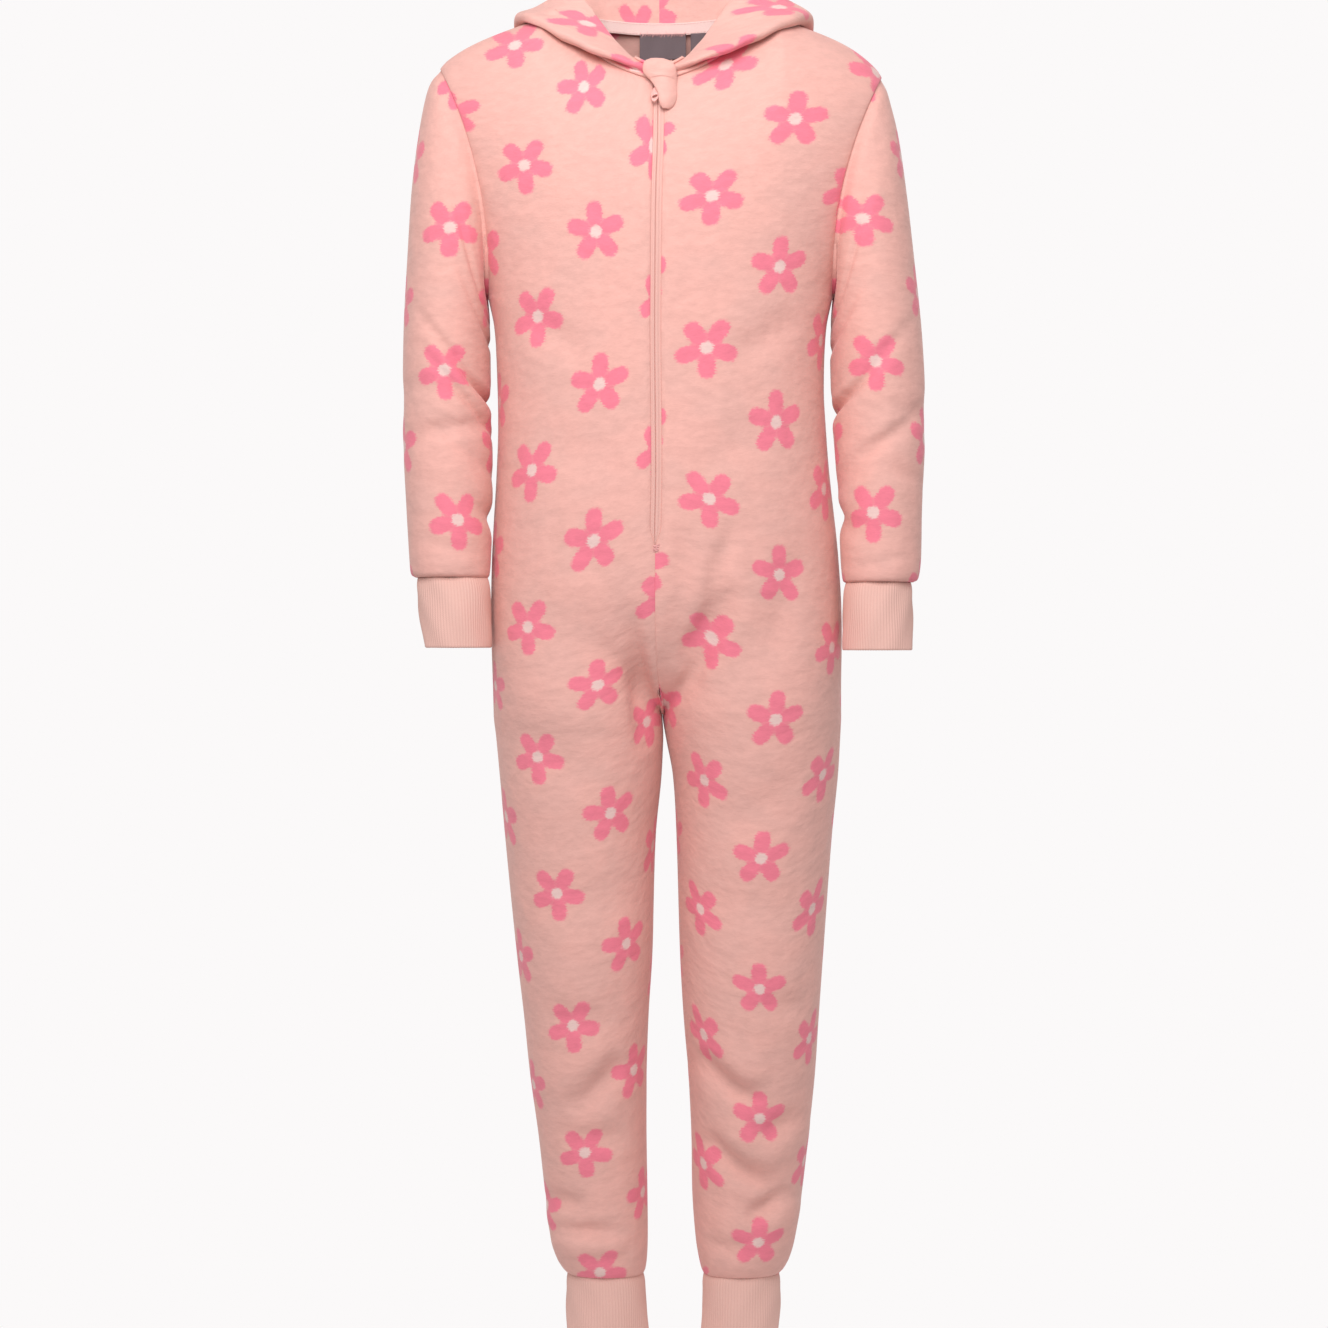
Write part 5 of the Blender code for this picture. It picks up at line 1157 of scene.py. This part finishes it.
section = node(tree, "GeometryNodeCurvePrimitiveCircle", {"Resolution": 6}).outputs["Curve"]
thickness = node(tree, "ShaderNodeCombineXYZ", {0: given["Thread"], 1: given["Thread"], 2: 1.0}).outputs[0]
sized = node(tree, "GeometryNodeTransform", {"Geometry": section, "Scale": thickness}).outputs[0]
laid = {"Curve": arch, "Profile Curve": sized, "Fill Caps": True}
stitch = node(tree, "GeometryNodeCurveToMesh", laid).outputs[0]
NAMED = "GeometryNodeInputNamedAttribute"
way = node(tree, NAMED, {"Name": "way"}, data_type="FLOAT_VECTOR").outputs["Attribute"]
out = node(tree, NAMED, {"Name": "out"}, data_type="FLOAT_VECTOR").outputs["Attribute"]
turn = node(tree, "FunctionNodeAlignRotationToVector", {"Vector": out}, axis="Z").outputs[0]
facing = {"Rotation": turn, "Vector": way}
turn = node(tree, "FunctionNodeAlignRotationToVector", facing, axis="X", pivot_axis="Z").outputs[0]
stray = node(tree, "FunctionNodeRandomValue", {"Seed": given["Seed"]}, data_type="FLOAT")
put(tree, stray.inputs[2], calc(tree, "MULTIPLY", given["Stray"], -1.0))
put(tree, stray.inputs[3], given["Stray"])
aside = node(tree, "ShaderNodeCombineXYZ", {2: stray.outputs[1]}).outputs[0]
turn = node(tree, "FunctionNodeRotateRotation", {0: turn, 1: aside}, rotation_space="LOCAL").outputs[0]
sewn = {"Points": given["Geometry"], "Instance": stitch, "Rotation": turn}
sewn = node(tree, "GeometryNodeInstanceOnPoints", sewn).outputs[0]
sewn = node(tree, "GeometryNodeRealizeInstances", {"Geometry": sewn}).outputs[0]
sewn = node(tree, "GeometryNodeSetShadeSmooth", {"Geometry": sewn}).outputs[0]
sewn = node(tree, "GeometryNodeSetMaterial", {"Geometry": sewn, "Material": given["Material"]}).outputs[0]
put(tree, node(tree, "NodeGroupOutput").inputs[0], sewn)


def sewn_row(name, spots, way, out, length, arch, thick, stray):
    """One piece made of a stitch at every spot, each along its way and arched out."""
    mesh = bpy.data.meshes.new(name)
    mesh.from_pydata([tuple(s) for s in spots], [], [])
    for key, values in (("way", way), ("out", out)):
        vectors = np.broadcast_to(values, (len(spots), 3)).astype(np.float32)
        mesh.attributes.new(key, "FLOAT_VECTOR", "POINT").data.foreach_set("vector", vectors.ravel())
    row = bpy.data.objects.new(name, mesh)
    bpy.context.scene.collection.objects.link(row)
    nodes = row.modifiers.new("stitching", "NODES")
    nodes.node_group = stitching
    values = {"Length": length, "Arch": arch, "Thread": thick, "Stray": stray, "Seed": 7, "Material": thread}
    for item in stitching.interface.items_tree:
        if item.in_out == "INPUT" and item.name in values:
            nodes[item.identifier] = values[item.name]
    made = bpy.data.meshes.new_from_object(row.evaluated_get(bpy.context.evaluated_depsgraph_get()))
    row.modifiers.clear()
    row.data = made
    made.name = name
    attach(row, "root")
    return row


# ---------------------------------------------------------------- zip
# A closed coil zip, turned so that the coil is inside: two narrow woven tapes meet in the slot between the
# front edges and run on behind them, sewn down. A bar of stitches ends it below.
TAPE, ZIP_JOIN, ZIP_WING = 0.0009, -0.0006, 0.0078
TAPE_EDGE = 0.0004  # how far the tape stays off the edge of the cloth
ZIP_PROFILE = [  # across the slot from the join to the cloth, and how deep the tape lies there
    (0.02, 0.0012),
    (0.11, 0.0005),
    (0.22, 0.00015),
    (0.34, 0.00012),
    (0.46, 0.0005),
    (0.60, 0.0010),
    (0.76, 0.0009),
    (0.90, 0.0011),
    (1.0, 0.0016),
    (1.04, 0.0029),
]
tape, tree, shader = fresh("tape")
weave, across, down = on_cloth(tree)
bone = calc(tree, "ABSOLUTE", calc(tree, "WRAP", across, 0.0014, -0.0014))
twill = waved(tree, calc(tree, "ADD", down, bone), 0.0011)
yarn = noise(tree, weave, (1900.0, 1500.0), 3.0, 0.6)
shade = ramp(tree, calc(tree, "MULTIPLY_ADD", twill, 0.18, yarn), 0.25, 0.75)
finish(
    tree,
    shader,
    {
        "Base Color": blend(tree, shade, (0.730, 0.405, 0.352), (0.815, 0.478, 0.425)),
        "Roughness": 0.8,
        "Specular IOR Level": 0.25,
        "Sheen Weight": 0.15,
        "Normal": relief(tree, calc(tree, "MULTIPLY_ADD", twill, 0.35, yarn), 0.00025, 0.5),
    },
)
edges = {}
for side in (RIGHT, LEFT):
    _, outer, inner = panels["front_" + HAND[side]]
    _, hood_outer, hood_inner = hoods["hood_" + HAND[side]]
    rows = [k for k in range(len(outer)) if outer[k, 0, 2] > ZIP_FOOT_Z - ZIP_CLOSE * 0.94]
    strip = [j for j in range(len(hood_outer[0]) - 2, 1, -2)]
    edge = np.concatenate([hood_outer[0, strip], outer[rows, 0]])
    under = np.concatenate([hood_inner[0, strip], inner[rows, 0]])
    further = np.concatenate([hood_inner[2, strip], inner[rows, 4]])
    edges[side] = edge, under, further
middle = (edges[RIGHT][0] + edges[LEFT][0]) / 2
half = np.maximum((edges[LEFT][0] - edges[RIGHT][0])[:, 0] / 2, TAPE_EDGE)
smooth = np.convolve(np.pad(half, 4, "edge"), np.ones(9) / 9, "valid")
half = np.where(middle[:, 2] > -0.060, smooth, half)
join = middle[:, 0] + ZIP_JOIN * half / (ZIP_SLOT / 2)
for side in (RIGHT, LEFT):
    edge, under, further = edges[side]
    name = "zip_" + HAND[side]
    out = unit((edge - under) * (0, 1, 1))
    wide = side * (middle[:, 0] + side * (half - TAPE_EDGE) - join)
    narrow = np.minimum(1.0, half / 0.003)
    outer, inner = [], []
    for share, sink in ZIP_PROFILE:
        line = spot(join + side * wide * share, edge[:, 1], edge[:, 2])
        depth = np.where(share > 1.0, 0.0032, sink * narrow + 0.0002)
        outer.append(line - out * depth[:, None])
        inner.append(line - out * (depth + TAPE)[:, None])
    wing = unit(further - under) * ZIP_WING
    for skin in (outer, inner):
        skin.append(skin[-1] + wing * 0.5)
        skin.append(skin[-2] + wing)
    outer, inner = np.moveaxis(np.array(outer), 0, 1), np.moveaxis(np.array(inner), 0, 1)
    places = np.stack([run(outer, 1), run(outer, 0)], -1)
    made = cloth_wall(name, outer, inner, places, tape, round_by=0.5)

# the coil behind the join
COILS, COIL_WIDE, COIL_THICK = 320, 0.0044, 0.0005
zs = np.linspace(middle[0, 2] - 0.002, -0.418, COILS)
order = np.argsort(middle[:, 2])
x, y = (np.interp(zs, middle[order, 2], line[order]) for line in (join, middle[:, 1]))
out = unit((edges[LEFT][0] - edges[LEFT][1]) * (0, 1, 1))
deep = np.stack([np.interp(zs, middle[order, 2], out[order, k]) for k in (0, 1, 2)], -1)
spots = spot(x, y, zs) - deep * (TAPE + 0.0019)
sewn_row("zip_coil", spots, (1.0, 0.0, 0.22), -deep, COIL_WIDE, 0.0004, COIL_THICK, 0.0)

# the bar of stitches at its foot
zs = np.linspace(-0.4225, -0.4275, 11)
_, left_skin, _ = panels["front_left"]
order = np.argsort(left_skin[:, 0, 2])
x, y = (np.interp(zs, left_skin[order, 0, 2], left_skin[order, 0, k]) for k in (0, 1))
spots = spot(x, y - 0.0002, zs)
sewn_row("bar_tack", spots, (1.0, 0.0, 0.12), (0.0, -1.0, 0.0), 0.0058, 0.0005, 0.00025, 0.25)

# ---------------------------------------------------------------- slider and pull
# A small die-cast slider, enamelled in the colour of the zip, and its loop-shaped pull, tucked up under the
# guard.
enamel, tree, shader = fresh("enamel")
place = node(tree, "ShaderNodeTexCoord").outputs["Object"]
wear = noise(tree, place, (700.0, 700.0), 4.0, 0.6)
finish(
    tree,
    shader,
    {
        "Base Color": blend(tree, ramp(tree, wear, 0.35, 0.75), (0.800, 0.400, 0.360), (0.740, 0.350, 0.312)),
        "Roughness": ramp(tree, wear, 0.3, 0.7, 0.30, 0.48),
        "Coat Weight": 0.2,
        "Normal": relief(tree, wear, 0.0002, 0.15),
    },
)


def zip_spot(z):
    """The middle of the front at heights z, and the way out from it."""

    def front(height):
        rise = np.clip((height - UNDERARM_Z) / (NECK_Z[FRONT] - UNDERARM_Z), 0, 1)
        found = chest_point(LEFT, FRONT, np.arccos(1 - 2 * rise), np.zeros(len(rise)))
        y = np.where(height >= NECK_Z[FRONT], -NECK_FRONT - 0.0006, found[:, 1])
        return spot(found[:, 0], y, height)

    low, high = front(z - 0.004), front(z + 0.004)
    slope = high - low
    out = unit(np.stack([0 * z, -slope[:, 2], slope[:, 1]], -1))
    return spot(front(z)[:, 0], (low + high)[:, 1] / 2, z), out


def zip_pad(name, rows, thickness, material, rounded, downs=40, columns=28):
    """A flat piece over the zip from rows of height, two sides, two lifts and dome."""
    drops = [-row[0] for row in rows]
    found = between(rows, drops, np.linspace(drops[0], drops[-1], downs))
    z, start, end, start_lift, end_lift, dome = np.moveaxis(found[..., None], 1, 0)
    share = 0.5 - 0.5 * np.cos(np.linspace(0, 1, columns) * math.pi)
    middle, out = zip_spot(z[:, 0])
    bump = np.maximum(0.0, 1 - np.abs(2 * share - 1) ** 2.6) ** 0.5
    ends = np.sin(math.pi * np.clip(np.linspace(0, 1, downs), 0.012, 0.988))
    close = np.minimum(1.0, ends * 4.2)[:, None] ** 0.5
    lift = mix(start_lift, end_lift, share) + dome * np.sin(math.pi * share)
    top = lift + thickness * mix(1 - rounded, 1.0, bump * close)
    flat = spot(mix(start, end, share), middle[:, None, 1], middle[:, None, 2])
    outer, inner = flat + out[:, None] * top[..., None], flat + out[:, None] * lift[..., None]
    places = np.stack([run(outer, 1) + 0.004, run(outer, 0)], -1)
    return cloth_wall(name, outer, inner, places, material)


SLIDER = [
    (-0.0455, -0.0034, 0.0028, 0.0004, 0.0004, 0.0),
    (-0.0465, -0.0042, 0.0036, 0.0004, 0.0004, 0.0),
    (-0.0510, -0.0044, 0.0038, 0.0004, 0.0004, 0.0),
    (-0.0555, -0.0036, 0.0030, 0.0004, 0.0004, 0.0),
    (-0.0575, -0.0030, 0.0024, 0.0004, 0.0004, 0.0),
]
zip_pad("zip_slider", SLIDER, 0.0022, enamel, 0.35, 24, 16)
PULL_X, PULL_Z, PULL_LIFT, PULL_THICK, PULL_TURN = -0.0044, -0.0578, 0.0034, 0.0012, math.radians(-12)
PULL_HALF, HOLE_HALF, HOLE_DOWN = (0.0034, 0.0068), (0.0023, 0.0010), 0.0022  # halves across and along
HOLE_TURN = math.radians(38)
PULL_ROUND, PULL_OVER = 48, 14  # points round the loop, and round its thickness
angles = [np.linspace(0, 2 * math.pi, count, endpoint=False) for count in (PULL_ROUND, PULL_OVER)]
around, over = np.meshgrid(*angles, indexing="ij")
rim = np.stack([PULL_HALF[0] * np.cos(around), PULL_HALF[1] * np.sin(around)])
slant = around - HOLE_TURN
long, short = HOLE_HALF[0] * np.cos(slant), HOLE_HALF[1] * np.sin(slant)
hole = np.stack([long * 0.79 - short * 0.62, long * 0.62 + short * 0.79 - HOLE_DOWN])
across, up = mix(hole, rim, 0.5 + 0.5 * power(np.cos(over), 0.7))
lift = PULL_LIFT + PULL_THICK * (0.5 + 0.5 * power(np.sin(over), 0.7))
x = PULL_X + across * math.cos(PULL_TURN) - up * math.sin(PULL_TURN)
z = PULL_Z + across * math.sin(PULL_TURN) + up * math.cos(PULL_TURN)
middle_pull, out = zip_spot(z.ravel())
points = spot(x.ravel(), middle_pull[:, 1], middle_pull[:, 2]) + out * lift.reshape(-1, 1)
i, j = (k.ravel() for k in np.meshgrid(np.arange(PULL_ROUND), np.arange(PULL_OVER), indexing="ij"))
after, beside = (i + 1) % PULL_ROUND * PULL_OVER, (j + 1) % PULL_OVER
quads = np.stack([i * PULL_OVER + j, i * PULL_OVER + beside, after + beside, after + j], -1)
mesh = bpy.data.meshes.new("zip_pull")
mesh.from_pydata(points.tolist(), [], quads.tolist())
piece("zip_pull", mesh, enamel)

# ---------------------------------------------------------------- zip guard
# A scrap of the fleece folded double over the top of the zip, sewn under the hood's edge, so that neither
# slider nor pull touches the chin.
GUARD = [  # height, two sides, how far each is lifted, how far it bellies
    (-0.0262, -0.0089, 0.0024, 0.0030, 0.0028, 0.0006),
    (-0.0282, -0.0130, 0.0081, 0.0036, 0.0034, 0.0014),
    (-0.0324, -0.0146, 0.0117, 0.0040, 0.0044, 0.0018),
    (-0.0374, -0.0143, 0.0126, 0.0038, 0.0039, 0.0026),
    (-0.0427, -0.0109, 0.0130, 0.0036, 0.0018, 0.0038),
    (-0.0481, -0.0073, 0.0130, 0.0048, 0.0009, 0.0030),
    (-0.0534, -0.0045, 0.0130, 0.0054, 0.0007, 0.0022),
    (-0.0588, -0.0024, 0.0130, 0.0056, 0.0007, 0.0018),
    (-0.0639, -0.0016, 0.0117, 0.0050, 0.0007, 0.0018),
    (-0.0673, -0.0004, 0.0097, 0.0038, 0.0007, 0.0016),
    (-0.0694, 0.0016, 0.0065, 0.0026, 0.0012, 0.0010),
]
guard = zip_pad("zip_guard", GUARD, 0.0026, plain_fleece, 0.75)

# ---------------------------------------------------------------- neck tape
# A pale twill tape sewn over the seam between the hood and the back, with a line of stitches along each edge.
TAPE_UP, TAPE_DOWN = 0.0045, 0.0055
neck_twill, tree, shader = fresh("neck_twill")
weave, across, down = on_cloth(tree)
twill = waved(tree, calc(tree, "ADD", across, down), 0.0009)
yarn = noise(tree, weave, (1700.0, 1700.0), 3.0, 0.6)
shade = ramp(tree, calc(tree, "MULTIPLY_ADD", twill, 0.2, yarn), 0.25, 0.75)
finish(
    tree,
    shader,
    {
        "Base Color": blend(tree, shade, (0.840, 0.560, 0.520), (0.900, 0.660, 0.620)),
        "Roughness": 0.8,
        "Normal": relief(tree, calc(tree, "MULTIPLY_ADD", twill, 0.4, yarn), 0.0002, 0.5),
    },
)


def skin_of(walls):
    """The surface of several pieces, for finding where a ray meets it."""
    points, faces = [], []
    for wall in walls:
        start = len(points)
        points += [v.co.copy() for v in wall.data.vertices]
        faces += [tuple(k + start for k in f.vertices) for f in wall.data.polygons]
    return BVHTree.FromPolygons(points, faces)


def hung(starts, ways, gap, lining):
    """Rows of starting points moved along their ways until each column hangs a gap off the lining."""
    reach = np.full(starts.shape[:2], 0.2)
    for i in range(starts.shape[0]):
        for j in range(starts.shape[1]):
            hit, _, _, distance = lining.ray_cast(Vector(starts[i, j]), Vector(ways[j]))
            reach[i, j] = distance if hit else 0.2
    reach = reach.min(0) - gap
    reach = np.convolve(np.pad(reach, 1, "edge"), np.ones(3) / 3, "valid")
    return starts + ways * reach[None, :, None]


angles = np.radians(np.linspace(132, 228, 65))
ways = np.stack([np.sin(angles), -np.cos(angles), 0 * angles], -1)
sides = np.where(angles <= math.pi, LEFT, RIGHT)
seam = np.stack([neck_point(s, math.pi - abs(a - math.pi)) for s, a in zip(sides, angles)])
rises = np.array([TAPE_UP, TAPE_UP - 0.001, 0.0015, -0.0005, -0.0025, -TAPE_DOWN + 0.001, -TAPE_DOWN])
starts = (seam - ways * 0.020)[None] + np.stack([0 * rises, 0 * rises, rises], -1)[:, None]
lining = [made for made, *_ in hoods.values()] + [panels[n][0] for n in ("back_right", "back_left")]
outer = hung(starts, ways, 0.0004, skin_of(lining))
inner = outer - ways * TAPE
places = np.stack([run(outer, 1), run(outer, 0)], -1)
sewn_tape = cloth_wall("neck_tape", outer, inner, places, neck_twill, round_by=0.6)
STITCH_FIRST, STITCH_PITCH = 0.0015, 0.0029
spots, along = [], []
for row in (1, 5):
    line = inner[row]
    length = np.concatenate([[0], np.cumsum(np.linalg.norm(np.diff(line, axis=0), axis=1))])
    stops = np.arange(STITCH_FIRST, length[-1], STITCH_PITCH)
    found = np.stack([np.interp(stops, length, line[:, k]) for k in range(3)], -1)
    spots.append(found)
    along.append(unit(np.gradient(found, axis=0)))
spots, along = np.concatenate(spots), np.concatenate(along)
facing = unit(-spots * (1, 1, 0))
stitches = sewn_row("tape_stitches", spots, along, facing, 0.0022, 0.0002, 0.00018, 0.05)

# ---------------------------------------------------------------- labels
# A woven label and a smaller one for the size beside it, both blank, caught into the seam under the neck tape
# and hanging free below. Uneven pink stitches go over the top of the large one.
LABEL_TOP, LABEL = 0.0132, 0.0007
LABELS = {  # left and right edge, lower edge, how much higher that is on the right
    "label_brand": (-0.0177, 0.0208, -0.0085, 0.0034),
    "label_size": (0.0252, 0.0392, -0.0070, 0.0),
}
woven, tree, shader = fresh("label")
weave, across, down = on_cloth(tree)
yarn = noise(tree, weave, (900.0, 2600.0), 3.0, 0.6)
warp = calc(tree, "MULTIPLY_ADD", waved(tree, across, 0.0006), 0.06, yarn)
rows_seen = calc(tree, "MULTIPLY_ADD", waved(tree, down, 0.00045), 0.14, warp)
shade = ramp(tree, rows_seen, 0.2, 0.8)
finish(
    tree,
    shader,
    {
        "Base Color": blend(tree, shade, (0.105, 0.072, 0.078), (0.185, 0.135, 0.145)),
        "Roughness": 0.7,
        "Specular IOR Level": 0.3,
        "Normal": relief(tree, rows_seen, 0.00015, 0.45),
    },
)
for name, (x0, x1, bottom, slant) in LABELS.items():
    across, down = np.linspace(0, 1, 40), np.linspace(0, 1, 24)[:, None]
    z = mix(LABEL_TOP, bottom + slant * (across - 0.5), down)
    starts = spot(mix(x0, x1, across)[None], 0.020, z)
    ways = np.tile((0.0, 1.0, 0.0), (len(across), 1))
    outer = hung(starts, ways, 0.0003, skin_of([*lining, sewn_tape]))
    curl = 0.0016 * down**2 * (1 + 0.5 * np.cos(across * 5.0)) + 0.0003 * np.sin(across * 11 + down * 3)
    outer = outer - spot(0.0, 1.0, 0.0) * curl[..., None]
    inner = outer - spot(0.0, 1.0, 0.0) * LABEL
    places = np.stack([run(outer, 1), run(outer, 0)], -1)
    made = cloth_wall(name, outer, inner, places, woven, round_by=0.6)
    if name == "label_brand":
        columns = np.linspace(0.6, len(across) - 1.6, 27)
        wobble = np.sin(columns * 2.3) * 0.0006 + np.sin(columns * 5.1) * 0.0005
        front = np.stack([np.interp(columns, np.arange(len(across)), inner[0, :, k]) for k in range(3)], -1)
        front += np.stack([0 * wobble, 0 * wobble - 0.0005, wobble - 0.0003], -1)
        sewn_row("label_stitches", front, (0.28, 0.0, 1.0), (0.0, -1.0, 0.0), 0.0031, 0.0004, 0.00026, 0.35)

# ---------------------------------------------------------------- studio
# A pale floor well below the garment and a white room round it. One large soft light stands in front of its
# chest, so that the legs below are darker, and fainter ones light its back and the inside of its neck.
world = bpy.data.worlds.new("studio")
bpy.context.scene.world = world
world.use_nodes = True
tree = world.node_tree
room = tree.nodes["Background"]
room.inputs[0].default_value = (0.545, 0.540, 0.540, 1)
seen = node(tree, "ShaderNodeBackground", {"Color": (0.965, 0.947, 0.947, 1)})
direct = node(tree, "ShaderNodeLightPath").outputs["Is Camera Ray"]
both = node(tree, "ShaderNodeMixShader", {0: direct, 1: room.outputs[0], 2: seen.outputs[0]})
put(tree, tree.nodes["World Output"].inputs["Surface"], both.outputs[0])
FLOOR_Z, FLOOR_RADIUS, FLOOR_SIDES = -1.30, 0.6, 64
turns = [k * 2 * math.pi / FLOOR_SIDES for k in range(FLOOR_SIDES)]
floor = bpy.data.meshes.new("floor")
rim = [(FLOOR_RADIUS * math.cos(turn), FLOOR_RADIUS * math.sin(turn), FLOOR_Z) for turn in turns]
floor.from_pydata(rim, [], [tuple(range(FLOOR_SIDES))])
floor = bpy.data.objects.new("floor", floor)
bpy.context.scene.collection.objects.link(floor)
paper, tree, shader = fresh("paper")
grain = noise(tree, node(tree, "ShaderNodeTexCoord").outputs["Object"], (40.0, 40.0), 4.0)
sheet_colour = blend(tree, grain, (0.90, 0.885, 0.885), (0.93, 0.915, 0.915))
finish(tree, shader, {"Base Color": sheet_colour, "Roughness": 0.9})
floor.data.materials.append(paper)
LAMPS = [  # size, energy, spread in degrees, place, what it points at
    ("key", 1.0, 21.8, 180, (-0.17, -1.40, 0.58), (0, 0, -0.30)),
    ("back_fill", 1.4, 15, 180, (0.5, 2.2, 0.3), (0, 0, -0.45)),
    ("neck_fill", 0.25, 0.045, 40, (0.0, -0.55, 0.34), (0, 0.05, 0.0)),
]
for name, size, energy, spread, stands, lit in LAMPS:
    lamp = bpy.data.objects.new(name, bpy.data.lights.new(name, "AREA"))
    lamp.data.size, lamp.data.energy, lamp.data.spread = size, energy, math.radians(spread)
    lamp.location = stands
    lamp.rotation_euler = (Vector(lit) - lamp.location).to_track_quat("-Z", "Y").to_euler()
    bpy.context.scene.collection.objects.link(lamp)
camera = bpy.data.objects.new("camera", bpy.data.cameras.new("camera"))
camera.data.lens = 98.0
camera.data.sensor_width = 36.0
camera.location = (0.0025, -3.0, -0.518)
camera.rotation_euler = (math.pi / 2, 0, 0)
bpy.context.scene.collection.objects.link(camera)
bpy.context.scene.camera = camera
bpy.context.scene.view_settings.view_transform = "Standard"
